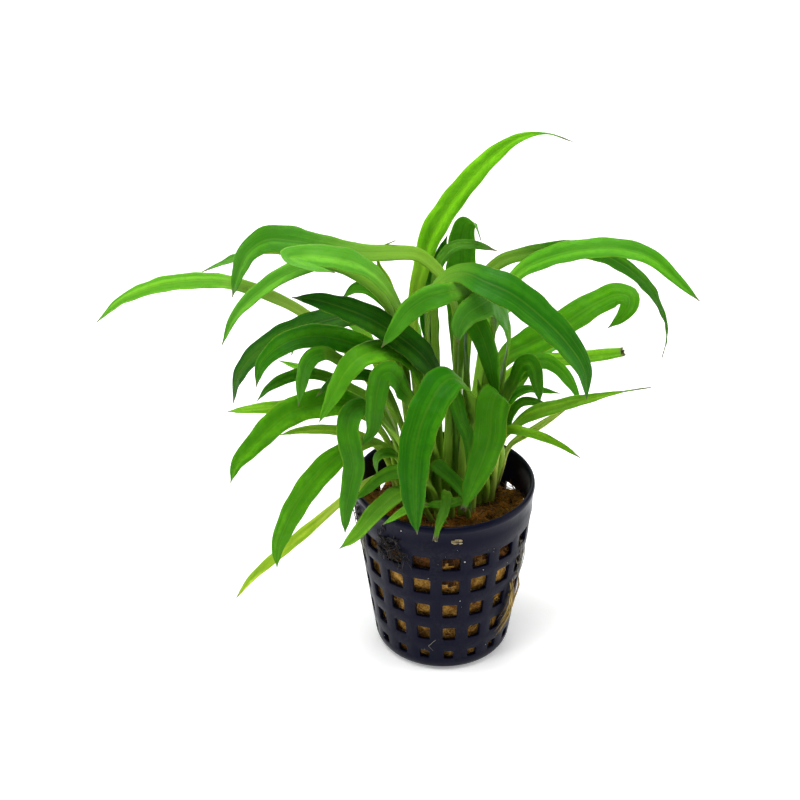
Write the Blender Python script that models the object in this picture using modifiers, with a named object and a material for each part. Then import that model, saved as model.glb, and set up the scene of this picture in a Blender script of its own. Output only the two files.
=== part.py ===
# Aquarium cryptocoryne in its net pot: the basket, the rockwool in it and one solid for each leaf.
# Across is x, to the right as seen from the front; deep is y, away from the front; high is z.
import math

import bmesh
import bpy
import numpy as np
from mathutils.kdtree import KDTree

MM = 0.001

# Net pot, in millimetres: a 2 inch basket whose wall widens to a plain band under the lip. Its
# windows are every second stretch of the wall round, in five rows of (middle, height) that get
# smaller towards the foot, and one ring of slots in the floor.
RIM_RADIUS = 26.0
POT_HEIGHT = 55.0
FOOT_RADIUS = 17.0
CORNER_RADIUS = 20.2
CORNER_HEIGHT = 4.4
BAND_HEIGHT = 45.4
WALL = 1.1
SLOT_INNER = 8.0
SLOT_OUTER = 14.0
BAND_START = 0.8
FOOT_CORNER = (19.0, 1.4)
WINDOW_COLUMNS = 18
WINDOW_TURN = -85.9
WINDOW_ROWS = ((41.7, 4.6), (33.0, 5.4), (23.6, 5.0), (14.6, 4.8), (6.1, 3.0))

# Rockwool plug, in millimetres: it follows the wall and its top is a low dome with a few lumps.
PLUG_STEPS = 24
PLUG_CLEARANCE = 0.7
PLUG_EDGE_HEIGHT = 45.6
PLUG_DOME = 2.4
PLUG_LUMP = 0.35
PLUG_FLOOR_GAP = 0.6
PLUG_TOP_RINGS = (0.0, 7.0, 13.5, 20.0)
PLUG_MIDDLE = 24.0
PLUG_CORNER_INSET = 0.5

# Leaves, in millimetres: a stalk of one thickness that widens into a blade and ends in a point.
STALK_WIDTH = 2.0
STALK_THICKNESS = 1.6
STALK_TAPER = 0.25
BLADE_THICKNESS = 0.8
BLADE_OPENS_BY = 0.3
TIP_WIDTH = 0.6
TIP_THICKNESS = 0.4
KEEL = 0.1
BASE_GAP = 0.6
TURN_START = 0.25
TURN_SPAN = 0.3
BEND_LENGTH = 9.0

# Where the photograph was taken from (across, deep, high), in millimetres. A leaf that leans back
# slides away along the line of sight, so it is still seen in the same place.
VIEWPOINT = (-12.8, -517.0, 385.8)

# Room between leaves, in millimetres, and how the lines are eased until they have it.
SPACING = 2.5
EASE_STEPS = 60
EASE_STEP_LENGTH = 2.0
EASE_ROOT = 14.0
EASE_SHARE = 0.45
SIDEWAYS_EASE = 0.45

# Each leaf: name, blade width, where along the leaf its blade starts and how far along the blade
# it has closed (past 1 the end is blunt), how far the blade is turned about its own line
# (degrees), how far its tip leans back, rings, root on the rockwool (across, deep) and the places
# it passes (across, deep, high), read by eye off the photograph.
LEAVES = (
    ("far_left", 5.7, (0.58, 1.0), -30, 24, 13, (-9, 6),
     ((-19, 6, 78), (-28, 6, 94), (-39, 5, 106), (-51, 4, 113.5), (-63, 3, 117.5), (-79, 1, 117.5), (-91, 0, 112.5),
      (-97, -1, 107))),
    ("left_long", 5.6, (0.6, 1.0), -32, -4, 14, (-8, 1),
     ((-13, 0, 94), (-15, -1, 109), (-20, -2, 118), (-26, -3, 123), (-33, -4, 127), (-42, -5, 125),
      (-50, -5.5, 120), (-58, -6.5, 112), (-62, -7, 103))),
    ("left_folded", 7.6, (0.6, 1.0), -50, 0, 17, (-5, -1),
     ((-10, -4, 99.5), (-13, -5, 112.5), (-18, -7, 123), (-24, -9, 129), (-33, -10.5, 132), (-40, -12, 133),
      (-42.5, -14.5, 133.5), (-38, -17, 132.5), (-30, -18, 131))),
    ("left_high", 8.6, (0.71, 1.0), -34, 13, 17, (2, 3),
     ((3, 3, 96), (2, 3, 112), (-3, 3, 122), (-9.5, 2, 127), (-21, 2, 127), (-31, 2, 128.3), (-41, 2, 130.4),
      (-50, 1, 131), (-55, 0, 127), (-58, -1, 119), (-59, -1, 115))),
    ("left_wavy", 3.4, (0.6, 1.0), -35, 26, 13, (-3, 7),
     ((-11, 8, 95), (-16, 9, 107), (-23, 9, 117.5), (-32, 9, 122.5), (-41, 9, 124), (-49, 9, 124.5),
      (-57, 9, 122.5), (-68, 8, 118))),
    ("upright_yellow", 3.6, (0.5, 0.8), 80, 0, 11, (-9, 9),
     ((-11, 9, 76), (-14, 9, 104), (-19, 9, 121), (-18, 8, 125), (-14, 7, 128))),
    ("small_arch", 4.8, (0.7, 1.0), -40, 7, 12, (-7, 3.5),
     ((-10, 3, 80), (-15, 3, 108), (-18, 3, 114), (-23, 2, 117), (-29, 1, 113))),
    ("centre_dark", 9.8, (0.38, 1.0), -40, 0, 14, (3, 0.5),
     ((3, -2.5, 73), (1, -4, 85), (-5, -7.5, 96.5), (-9.5, -9.5, 102.5), (-17.5, -11, 111), (-26.5, -12, 116.5),
      (-37, -13, 120.5), (-42, -13, 121))),
    ("left_dark", 8.6, (0.5, 1.0), -35, 6, 14, (-6, 5),
     ((-10, 3, 93), (-15, 3, 105), (-23, 2.5, 107.5), (-31, 1, 107), (-41, 0, 104), (-50, 0, 99),
      (-57, -2, 93), (-60, -3, 82))),
    ("left_broad", 7.8, (0.45, 1.0), -40, -5, 14, (-2, 1),
     ((-10, -1, 84), (-16, -2, 95), (-22.5, -3.5, 99.5), (-28, -4, 102), (-40, -6, 104), (-50, -7, 99),
      (-52, -7.5, 94), (-53, -8, 90))),
    ("left_hanging", 4.8, (0.7, 1.0), -45, 0, 14, (-6, -3),
     ((-14, -5, 81), (-20, -7, 91), (-27, -9, 97), (-34, -11, 103.5), (-37, -12, 103), (-39, -12.5, 99),
      (-40, -13, 93), (-41, -13, 87))),
    ("left_slim", 4.0, (0.62, 1.0), -40, 10, 12, (-11, 1),
     ((-15, 0, 71), (-21, -1, 82), (-30, -2, 88), (-36, -3, 91.5), (-41, -3, 91.5), (-49, -4.5, 88.5),
      (-53, -5, 84))),
    ("left_pale_low", 3.2, (0.5, 1.0), -35, 18, 10, (-10, 4),
     ((-14, 4, 65), (-21, 3, 78), (-27, 3, 83.5), (-33, 3, 87), (-40, 2.5, 90), (-47, 2, 93))),
    ("left_pale", 4.4, (0.42, 1.0), -45, 16, 11, (-12, 3),
     ((-16, 3, 66), (-21, 3, 73), (-28.5, 2, 77), (-38.5, 1.5, 78.5), (-53, 0, 78.5), (-62, -1, 78))),
    ("left_ruffled", 8.2, (0.35, 1.0), -55, -4, 14, (-10, -2),
     ((-14, -4, 70), (-18.5, -5, 78), (-24, -6, 83), (-35, -8, 85), (-45, -9.5, 82), (-53, -10.5, 74),
      (-59, -11.5, 67), (-61, -12, 61))),
    ("left_narrow", 3.2, (0.4, 1.0), -40, 6, 11, (-13, -1),
     ((-17, -1, 63), (-23, -2, 70), (-31, -3, 73), (-41, -3, 73), (-47, -4, 72))),
    ("left_droop", 7.2, (0.36, 1.0), -50, 0, 14, (-9, -5),
     ((-13, -8, 66), (-20, -11, 73.5), (-25.5, -14, 74.5), (-31, -16.5, 72), (-38, -19, 65),
      (-44, -21, 55), (-48, -21, 43), (-48, -21, 38))),
    ("left_yellow", 3.4, (0.35, 1.0), -25, 6, 12, (-12, -3),
     ((-14, -6, 59), (-19, -9, 61), (-25, -12, 59), (-35, -13, 50), (-43, -13, 42), (-50.5, -12, 34),
      (-58, -11, 25), (-61, -11, 20))),
    ("front_hook", 6.6, (0.4, 1.0), -40, 0, 14, (-7, -8),
     ((-10.5, -10, 67), (-15, -13, 79), (-19.5, -16, 86.5), (-22.5, -18.5, 89), (-24.5, -20.5, 88),
      (-25.5, -22, 85), (-25.5, -24, 74), (-27.5, -25, 63), (-28, -25, 52))),
    ("front_left_inner", 6.8, (0.42, 1.0), -60, 0, 14, (-3, -7),
     ((-6, -9, 70), (-9, -12, 87), (-12, -15, 97), (-15, -17.5, 101.5), (-18, -19.5, 101.5), (-19, -21, 97),
      (-22, -22, 84), (-24, -22, 79))),
    ("front_left_light", 7.8, (0.36, 1.0), -45, 0, 14, (-1, -4),
     ((-4, -6, 72), (-7, -9, 90), (-11, -12, 100), (-17, -15, 105), (-23, -18, 105), (-28, -20, 101),
      (-31, -21, 95), (-35, -22, 87))),
    ("left_small_dark", 3.6, (0.6, 1.0), -40, 0, 12, (-5, -5.5),
     ((-11, -6, 72), (-16, -7, 87), (-21, -8, 94), (-27, -9, 96), (-31, -10, 94), (-36, -11, 89))),
    ("rim_left", 5.4, (0.25, 1.0), -30, 0, 11, (-4, -11),
     ((-8.5, -14, 59), (-13, -18, 60.5), (-18, -22, 58.5), (-23, -25, 55), (-30, -28, 49.5))),
    ("rim_left_upper", 4.4, (0.3, 1.0), -40, 0, 11, (-2, -10),
     ((-4, -10.5, 60), (-9, -12, 66), (-16, -14, 66), (-21, -16, 62.5), (-26, -18, 58.5))),
    ("rim_left_narrow", 2.6, (0.3, 1.0), -30, 0, 9, (0, -12),
     ((-4, -16, 56), (-11, -21, 59), (-14, -23, 58), (-18, -25, 56))),
    ("left_loop", 3.0, (0.55, 1.0), -40, 0, 11, (-11, -7),
     ((-11.5, -8, 59), (-12, -9, 65.5), (-14.5, -10, 70), (-17.5, -10.5, 71), (-19.5, -11, 69),
      (-19.5, -11.5, 66), (-19, -12, 63))),
    ("front_big", 10.2, (0.38, 1.0), -45, 0, 15, (5, -7),
     ((6, -8, 70), (7, -10, 86), (4.5, -13, 94), (0.5, -17, 98), (-2.5, -20.5, 96.5), (-7, -26.5, 89),
      (-9, -30.5, 80), (-9, -32, 67), (-8, -32, 57))),
    ("front_right", 9.4, (0.42, 1.0), -30, 0, 14, (9.6, -2),
     ((13, -5, 68), (14.5, -7, 82), (15, -9.5, 89), (13.5, -12.5, 90.5), (12.5, -14.5, 86.5), (12, -17, 79),
      (10, -18.5, 72), (7.5, -20, 65.5), (5, -21, 58))),
    ("rim_front", 3.2, (0.35, 1.0), -30, 0, 9, (2, -9),
     ((2, -13, 56), (1, -18, 60), (-0.5, -24, 59.5), (-2, -28, 57.5), (-3, -31, 54.5))),
    ("front_cross", 2.8, (0.3, 1.0), -45, 0, 8, (7, -10),
     ((5, -13, 56), (0, -17, 59), (-6, -20, 59))),
    ("front_slant", 4.2, (0.35, 1.0), 20, 0, 11, (-3.2, -4.1),
     ((-5.5, -6, 60), (-4.5, -10, 65), (1, -14, 61), (7, -17, 54))),
    ("tall", 6.8, (0.45, 0.86), 60, 10, 15, (-5, 9.5),
     ((-7, 8, 70), (-8.5, 8.5, 93), (-9, 9, 105.5), (-6.5, 10, 119.5), (-3.5, 10.5, 129.5), (3, 11.5, 140),
      (11, 12, 150), (19, 12, 156.5), (26.5, 12, 158), (34, 11, 156))),
    ("top_bent", 8.6, (0.52, 1.0), -60, 0, 17, (2, 11),
     ((4, 12, 67), (4, 12, 91), (4, 13, 106.5), (4.5, 13, 122), (4.5, 12.5, 128), (5.5, 11.5, 131.5),
      (7, 9.5, 133), (8, 8, 132), (9.5, 7, 128))),
    ("top_thin", 3.4, (0.7, 1.0), 50, 6, 12, (-1, 6),
     ((-2, 5, 78), (-3, 5, 101), (-3, 5, 114), (-2, 4.5, 122), (1, 4, 127), (4, 3, 129), (9, 2.5, 129),
      (14, 2, 127.5))),
    ("top_twist", 5.6, (0.45, 1.0), 15, 0, 11, (-1, 12.5),
     ((-2, 14, 73), (-4, 15, 96), (-5, 16, 106.5), (-4, 16, 113), (-2, 16, 118), (0, 16, 124),
      (0.5, 16, 125.5))),
    ("big_dark", 9.8, (0.53, 1.0), 42, 0, 16, (-3, -1.5),
     ((-3.5, -3, 73), (-5, -4.5, 100), (-5, -4.5, 114), (-3, -4.5, 119), (1, -6, 122), (6, -9, 124),
      (14, -13, 124), (22, -15, 119), (30, -17, 112), (37, -18, 102), (38.5, -18, 92))),
    ("centre_light", 6.8, (0.69, 1.0), -45, 0, 15, (7, -4),
     ((10, -3, 70), (12, -3, 93), (12.5, -3, 107), (10, -4, 115.5), (6, -6.5, 120.5), (0, -9.5, 121.5),
      (-6, -11.5, 119.5), (-12.5, -11, 113.5), (-18, -13, 106))),
    ("centre_fold", 9.4, (0.55, 1.0), -65, 0, 15, (11.6, 1.6),
     ((15, 1.5, 74), (17, 0, 91), (17.5, -1, 103), (15.5, -3, 110.5), (13, -5, 115), (10, -7, 117.5),
      (7, -9, 117.5), (4, -10.5, 115.5), (3, -12, 106))),
    ("centre_hanging", 7.4, (0.42, 1.0), 45, 0, 15, (9, 1),
     ((7, 2, 70), (6, 2.5, 93), (5.5, 1, 106), (7, -1, 111), (9, -3, 108.5), (10.5, -4.5, 105),
      (12.5, -6, 96), (14.5, -7, 85))),
    ("right_long", 6.5, (0.48, 1.0), 38, -10, 14, (9, 5),
     ((10, 6, 71), (12.5, 6, 94), (15, 6, 108.5), (19, 5, 118), (27, 4, 124), (38, 3, 127.5), (49, 2, 128),
      (57.5, 0, 125.5), (65, -1, 118), (70, -1, 113.5))),
    ("right_twist", 5.4, (0.45, 0.88), 45, 20, 16, (5, 8.5),
     ((6, 9, 76), (7, 10, 98.5), (9, 11, 111), (13.5, 11, 118.5), (22, 12, 121.5), (33, 12, 123), (45, 12, 121),
      (53, 11, 115.5), (59, 10, 109.5), (62, 9, 102), (63, 8.5, 98.5), (62, 8, 90.5))),
    ("right_folded", 9.6, (0.36, 1.0), 50, 4, 16, (11.8, 4.4),
     ((15.5, 6, 88), (20, 6.5, 93), (27, 7, 97), (35, 7.5, 103), (44, 8, 109), (50, 6, 112),
      (51.5, 4, 111.5), (50.5, 2, 109.5), (49, 0.5, 108), (45, -1, 105))),
    ("right_cut", 4.6, (0.4, 1.25), 40, 12, 11, (9.4, 9.6),
     ((11, 11, 65), (15, 12, 78), (20, 12.5, 83), (25, 12.5, 86), (36, 12, 88), (47, 11, 90), (51, 10.5, 91))),
    ("right_hanging", 5.2, (0.55, 1.0), 60, 0, 12, (14, 3.6),
     ((17, -1, 83.5), (20.5, -1.5, 92), (23, -2.5, 95.5), (24.5, -4, 94.5), (25.5, -5, 90.5), (26.5, -6, 83))),
    ("right_inner", 5.0, (0.5, 1.0), 50, 0, 12, (11.6, 7.4),
     ((16, 5, 78.5), (21, 3.5, 88.5), (25, 2, 93), (29.5, 1, 93), (35, -1, 88), (38.5, -3, 82))),
    ("right_small", 3.2, (0.45, 1.0), 45, 8, 10, (13.4, 9),
     ((16, 5, 65), (18, 5.5, 77), (22, 6, 81), (27.5, 6, 81), (33, 5, 80.5))),
    ("right_short", 3.8, (0.45, 1.0), 50, 0, 10, (13.6, 6.2),
     ((16, -1, 69), (18, -1, 77), (23, -2, 82), (30, -4, 81))),
    ("right_level", 5.0, (0.3, 0.8), 30, -8, 13, (14, 0.8),
     ((16, -4.5, 71), (19, -5, 75), (24, -5.5, 80), (28, -6, 82), (39, -7, 85.5), (49, -7, 88),
      (57.5, -7, 89.5))),
    ("right_low", 3.4, (0.3, 1.0), 35, -5, 12, (12, -1),
     ((12, -7.5, 64), (14.5, -8.5, 73), (17.5, -9, 77), (21, -10, 77.5), (30, -12, 75), (38, -13, 70))),
    ("right_dry", 2.6, (0.4, 1.0), 40, 6, 9, (15.8, 7.8),
     ((17, 4.5, 56), (19, 6, 62), (26.5, 5.5, 68.5), (35.5, 4.5, 76))),
    ("centre_yellow", 3.4, (0.4, 1.0), -30, 0, 10, (8, -7),
     ((9, -8, 69), (9.5, -9.5, 82), (9.5, -10, 90), (9, -10.5, 94))),
    ("centre_slant", 4.8, (0.4, 1.0), 50, 0, 13, (0, -2),
     ((1, -4, 67), (1, -5.5, 81), (1.5, -7, 87.5), (2.5, -8.5, 89), (4, -10, 86), (5, -11, 81), (6.5, -11.5, 76),
      (7, -12, 70), (6.5, -12, 63.5))),
    ("back_left", 6.5, (0.45, 1.0), 0, 0, 13, (-12, 12),
     ((-17, 18, 74), (-24, 25, 90), (-34, 34, 92), (-42, 42, 82), (-46, 46, 70))),
    ("back_middle_left", 7.4, (0.45, 1.0), 0, 0, 13, (-5, 15),
     ((-7, 21, 74), (-9, 28, 87), (-12, 36, 88), (-15, 43, 77), (-16, 46, 62))),
    ("back_middle", 6.5, (0.45, 1.0), 0, 0, 13, (1, 16),
     ((2, 23, 62), (2, 32, 69), (4, 42, 67), (6, 49, 56))),
    ("back_middle_right", 6.0, (0.45, 1.0), 0, 0, 13, (7, 14),
     ((10, 21, 74), (14, 28, 90), (20, 37, 93), (28, 47, 86), (33, 54, 76))),
    ("back_right", 6.5, (0.45, 1.0), 0, 0, 13, (14, 11),
     ((19, 16, 70), (26, 22, 82), (34, 28, 84), (41, 33, 78))),
)


def material(name, colour, roughness):
    made = bpy.data.materials.new(name)
    made.use_nodes = True
    shader = made.node_tree.nodes["Principled BSDF"]
    shader.inputs["Base Color"].default_value = (*colour, 1.0)
    shader.inputs["Roughness"].default_value = roughness
    return made


def add_object(name, mesh, colour, roughness, smooth_angle):
    mesh.name = name
    mesh.materials.clear()
    mesh.materials.append(material(name, colour, roughness))
    mesh.shade_smooth()
    mesh.set_sharp_from_angle(angle=math.radians(smooth_angle))
    made = bpy.data.objects.new(name, mesh)
    plant.objects.link(made)
    return made


# A profile of (radius, height), from the top down its outer side, turned about the pot's axis.
def turned(profile, steps, first_turn=0.0):
    line = bpy.data.meshes.new("profile")
    start = math.radians(first_turn)
    points = [(MM * r * math.cos(start), MM * r * math.sin(start), MM * z) for r, z in profile]
    line.from_pydata(points, [(place, place + 1) for place in range(len(points) - 1)], [])
    lathe = bpy.data.objects.new("profile", line)
    plant.objects.link(lathe)
    screw = lathe.modifiers.new("turn", "SCREW")
    screw.steps = steps
    screw.render_steps = steps
    screw.use_merge_vertices = True
    screw.merge_threshold = 0.00001
    mesh = bpy.data.meshes.new_from_object(lathe.evaluated_get(bpy.context.evaluated_depsgraph_get()))
    bpy.data.objects.remove(lathe, do_unlink=True)
    return mesh


def wall_radius(height):
    share = (height - CORNER_HEIGHT) / (BAND_HEIGHT - CORNER_HEIGHT)
    return CORNER_RADIUS + (RIM_RADIUS - CORNER_RADIUS) * min(1.0, max(0.0, share))


# Pot: the outer surface is turned with two stretches for each window column, its windows are cut
# out of it, and the wall is then given its thickness inwards.
def window_rows():
    return [(middle + height / 2, middle - height / 2) for middle, height in WINDOW_ROWS]


def build_pot():
    profile = [(RIM_RADIUS, POT_HEIGHT), (RIM_RADIUS, BAND_HEIGHT + BAND_START)]
    for top, bottom in window_rows():
        profile += [(wall_radius(top), top), (wall_radius(bottom), bottom)]
    profile += [FOOT_CORNER, (FOOT_RADIUS, 0.0), (SLOT_OUTER, 0.0), (SLOT_INNER, 0.0), (0.0, 0.0)]
    stretch = 360.0 / (2 * WINDOW_COLUMNS)
    mesh = turned(profile, 2 * WINDOW_COLUMNS, WINDOW_TURN - stretch / 2)

    def is_window(face):
        middle = face.calc_center_median() / MM
        column = (math.degrees(math.atan2(middle.y, middle.x)) - WINDOW_TURN) / (2 * stretch)
        if abs(column - round(column)) > 0.25:
            return False
        if middle.z < WALL:
            return SLOT_INNER < middle.xy.length < SLOT_OUTER
        return any(bottom < middle.z < top for top, bottom in window_rows())

    shape = bmesh.new()
    shape.from_mesh(mesh)
    bmesh.ops.delete(shape, geom=[face for face in shape.faces if is_window(face)], context="FACES_ONLY")
    shape.to_mesh(mesh)
    shape.free()
    pot = add_object("net_pot", mesh, (0.012, 0.014, 0.03), 0.35, 35)
    wall = pot.modifiers.new("wall", "SOLIDIFY")
    wall.thickness = MM * WALL
    wall.offset = -1.0
    wall.use_even_offset = True


# Rockwool: a turned plug, whose top is then lifted to the dome, where each leaf stands.
def plug_top(across, deep):
    dome = PLUG_EDGE_HEIGHT + PLUG_DOME * (1.0 - (math.hypot(across, deep) / RIM_RADIUS) ** 2)
    return dome + PLUG_LUMP * math.sin(0.31 * across + 0.8) * math.cos(0.27 * deep - 0.4)


def build_plug():
    inset = WALL + PLUG_CLEARANCE
    floor = WALL + PLUG_FLOOR_GAP
    profile = [(radius, PLUG_EDGE_HEIGHT) for radius in PLUG_TOP_RINGS]
    profile += [(wall_radius(height) - inset, height) for height in (PLUG_EDGE_HEIGHT, PLUG_MIDDLE)]
    profile += [(CORNER_RADIUS - inset - PLUG_CORNER_INSET, CORNER_HEIGHT), (FOOT_RADIUS - inset, floor),
                (0.0, floor)]
    mesh = turned(profile, PLUG_STEPS)
    for corner in mesh.vertices:
        if corner.co.z > MM * (PLUG_EDGE_HEIGHT - 0.1):
            corner.co.z = MM * plug_top(corner.co.x / MM, corner.co.y / MM)
    add_object("rockwool", mesh, (0.2, 0.1, 0.03), 0.95, 60)


# Leaf lines: a smooth curve through the places, with a frame that turns only as the curve does.
def smooth_line(places, step):
    ends = np.array([2 * np.array(places[0]) - places[1], *places, 2 * np.array(places[-1]) - places[-2]])
    knots = np.concatenate([[0.0], np.cumsum(np.linalg.norm(np.diff(ends, axis=0), axis=1) ** 0.5)])

    def between(first, second, start, stop, at):
        return ((stop - at) * first + (at - start) * second) / (stop - start)

    line = []
    for span in range(1, len(ends) - 2):
        a, b, c, d = ends[span - 1:span + 3]
        at_a, at_b, at_c, at_d = knots[span - 1:span + 3]
        for at in np.linspace(at_b, at_c, 24, endpoint=False):
            middle = between(b, c, at_b, at_c, at)
            early = between(between(a, b, at_a, at_b, at), middle, at_a, at_c, at)
            late = between(middle, between(c, d, at_c, at_d, at), at_b, at_d, at)
            line.append(between(early, late, at_b, at_c, at))
    line = np.array([*line, ends[-2]])
    length = np.concatenate([[0.0], np.cumsum(np.linalg.norm(np.diff(line, axis=0), axis=1))])
    even = np.linspace(0.0, length[-1], max(8, round(length[-1] / step)) + 1)
    return np.stack([np.interp(even, length, line[:, axis]) for axis in range(3)], axis=1)


def lean_back(places, lean):
    places = np.array(places, float)
    reach = np.concatenate([[0.0], np.cumsum(np.linalg.norm(np.diff(places, axis=0), axis=1))])
    back = lean * (reach / reach[-1]) ** 2
    sight = places - VIEWPOINT
    return places + sight / sight[:, 1:2] * back[:, None]


def unit(vectors):
    return vectors / np.maximum(np.linalg.norm(vectors, axis=-1, keepdims=True), 1e-9)


def frames(line, turn):
    along = unit(np.gradient(line, axis=0))
    heading = line[-1] - line[0]
    side = np.empty_like(line)
    side[0] = unit(np.array([-heading[1], heading[0], 0.0]))
    for place in range(1, len(line)):
        side[place] = unit(side[place - 1] - along[place] * (side[place - 1] @ along[place]))
    up = np.cross(along, side)
    ramp = eased(np.linspace(0.0, 1.0, len(line)), TURN_START, TURN_SPAN)
    angle = (np.radians(turn) * ramp)[:, None]
    turned_side = side * np.cos(angle) + up * np.sin(angle)
    return turned_side, np.cross(along, turned_side)


def eased(share, start, span):
    ramp = np.clip((share - start) / span, 0.0, 1.0)
    return ramp * ramp * (3.0 - 2.0 * ramp)


def half_width(share, leaf):
    blade = np.clip((share - leaf["start"]) / (1.0 - leaf["start"]), 0.0, 1.0)
    opening = eased(blade, 0.0, BLADE_OPENS_BY)
    closing = np.clip(1.0 - (blade / leaf["closes"]) ** 4.0, 0.0, 1.0) ** 0.8
    stalk = STALK_WIDTH / 2 * (1.0 - STALK_TAPER * np.clip(share / leaf["start"], 0.0, 1.0))
    return np.maximum((stalk * (1.0 - opening) + leaf["width"] / 2 * opening) * closing, TIP_WIDTH / 2)


def half_thickness(share, leaf):
    blade = min(leaf["start"] + 0.2, 0.95)
    thick = (STALK_THICKNESS, 0.8 * STALK_THICKNESS, BLADE_THICKNESS, TIP_THICKNESS)
    return np.interp(share, (0.0, leaf["start"], blade, 1.0), thick) / 2


# Easing apart: leaves that pass too close lean away from each other, from the lip and from the
# rockwool, mostly in depth, more and more from their roots on.
def lip_points():
    turns = np.radians(np.arange(0.0, 360.0, 4.0))
    radius = RIM_RADIUS - WALL / 2
    return np.concatenate([
        np.stack([radius * np.cos(turns), radius * np.sin(turns), np.full_like(turns, height)], axis=1)
        for height in (POT_HEIGHT, POT_HEIGHT - 2.0, POT_HEIGHT - 4.0, POT_HEIGHT - 6.0)
    ])


def samples(leaf):
    half = half_width(np.linspace(0.0, 1.0, len(leaf["line"])), leaf)
    wide = np.nonzero(half > 1.2)[0]
    points = [leaf["line"]]
    owners = [np.arange(len(half))]
    for offset in (-0.9, -0.45, 0.45, 0.9):
        points.append(leaf["line"][wide] + leaf["side"][wide] * (offset * half[wide])[:, None])
        owners.append(wide)
    return np.concatenate(points), np.concatenate(owners)


def crowded(clouds, fixed):
    source = [number for number, (points, _) in enumerate(clouds) for _ in points] + [-1] * len(fixed)
    tree = KDTree(len(source))
    for index, point in enumerate(np.concatenate([points for points, _ in clouds] + [fixed])):
        tree.insert(point, index)
    tree.balance()
    return tree, source


def push_of(number, points, owners, count, tree, source):
    push = np.zeros((count, 3))
    hits = np.zeros(count)
    for point, owner in zip(points, owners):
        for near, index, distance in tree.find_range(point, SPACING):
            if source[index] == number or distance < 1e-6:
                continue
            share = 1.0 if source[index] < 0 else 0.5
            push[owner] += (point - np.array(near)) / distance * (SPACING - distance) * share
            hits[owner] += 1
    return push / np.maximum(hits, 1)[:, None] * (SIDEWAYS_EASE, 1.0, SIDEWAYS_EASE)


def spread_along(push):
    kernel = np.array([0.15, 0.35, 0.65, 0.9, 1.0, 0.9, 0.65, 0.35, 0.15])
    return np.stack([np.convolve(push[:, axis], kernel, "same")[:len(push)] for axis in range(3)], axis=1)


def ease_apart(leaves):
    fixed = lip_points()
    for step in range(EASE_STEPS):
        if step % 10 == 0:
            for leaf in leaves:
                leaf["side"] = frames(leaf["line"], leaf["turn"])[0]
        clouds = [samples(leaf) for leaf in leaves]
        tree, source = crowded(clouds, fixed)
        for number, (points, owners) in enumerate(clouds):
            line = leaves[number]["line"]
            spread = EASE_SHARE * spread_along(push_of(number, points, owners, len(line), tree, source))
            reach = np.concatenate([[0.0], np.cumsum(np.linalg.norm(np.diff(line, axis=0), axis=1))])
            line += spread * np.clip(reach / EASE_ROOT, 0.0, 1.0)[:, None]
            for place in range(4, len(line)):
                if math.hypot(line[place, 0], line[place, 1]) < RIM_RADIUS:
                    line[place, 2] = max(line[place, 2], plug_top(line[place, 0], line[place, 1]) + SPACING)


# Leaf solids: four corners a ring, the two edges and the middle of either face, with the rings
# closer together where the leaf bends.
def ring_places(line, count):
    along = np.diff(line, axis=0)
    bend = np.zeros(len(along))
    bend[1:] = np.arccos(np.clip(np.sum(unit(along[1:]) * unit(along[:-1]), axis=1), -1.0, 1.0))
    length = np.linalg.norm(along, axis=1) + BEND_LENGTH * bend
    measure = np.concatenate([[0.0], np.cumsum(length)])
    return np.interp(np.linspace(0.0, measure[-1], count), measure, np.arange(len(line)))


def build_leaf(leaf):
    line = leaf["line"]
    places = ring_places(line, leaf["rings"])

    def picked(values):
        steps = np.arange(len(line))
        return np.stack([np.interp(places, steps, values[:, axis]) for axis in range(3)], axis=1)

    side, up = frames(line, leaf["turn"])
    centre = picked(line)
    above = unit(picked(up))
    share = places / (len(line) - 1)
    half = half_width(share, leaf)[:, None]
    across = unit(picked(side)) * half
    lift = above * half_thickness(share, leaf)[:, None]
    edge = centre + above * KEEL * np.clip(half - STALK_WIDTH / 2, 0.0, None)
    corners = np.stack([edge - across, centre + lift, edge + across, centre - lift], axis=1).reshape(-1, 3)
    faces = [(0, 1, 2, 3), tuple(reversed(range(len(corners) - 4, len(corners))))]
    for first in range(0, len(corners) - 4, 4):
        for corner in range(4):
            beside = (corner + 1) % 4
            faces.append((first + corner + 4, first + beside + 4, first + beside, first + corner))
    mesh = bpy.data.meshes.new("leaf")
    mesh.from_pydata([tuple(MM * float(value) for value in corner) for corner in corners], [], faces)
    add_object("leaf_" + leaf["name"], mesh, (0.08, 0.3, 0.02), 0.4, 60)


def build_leaves():
    leaves = []
    for name, width, (start, closes), turn, lean, rings, root, places in LEAVES:
        base = (*root, plug_top(*root) + BASE_GAP)
        line = smooth_line(lean_back([base, *places], lean), EASE_STEP_LENGTH)
        leaves.append({"name": name, "width": width, "start": start, "closes": closes, "turn": turn,
                       "rings": rings, "line": line})
    ease_apart(leaves)
    for leaf in leaves:
        build_leaf(leaf)


for old in list(bpy.data.objects):
    bpy.data.objects.remove(old, do_unlink=True)
plant = bpy.data.collections.new("potted_cryptocoryne")
bpy.context.scene.collection.children.link(plant)
build_pot()
build_plug()
build_leaves()
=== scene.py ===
# Potted cryptocoryne: a young aquarium plant in its net pot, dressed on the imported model.
# Across is x, to the right as seen from the front; deep is y, away from the front; high is z.
import math

import bmesh
import bpy
import numpy as np
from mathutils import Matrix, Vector, noise


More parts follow.
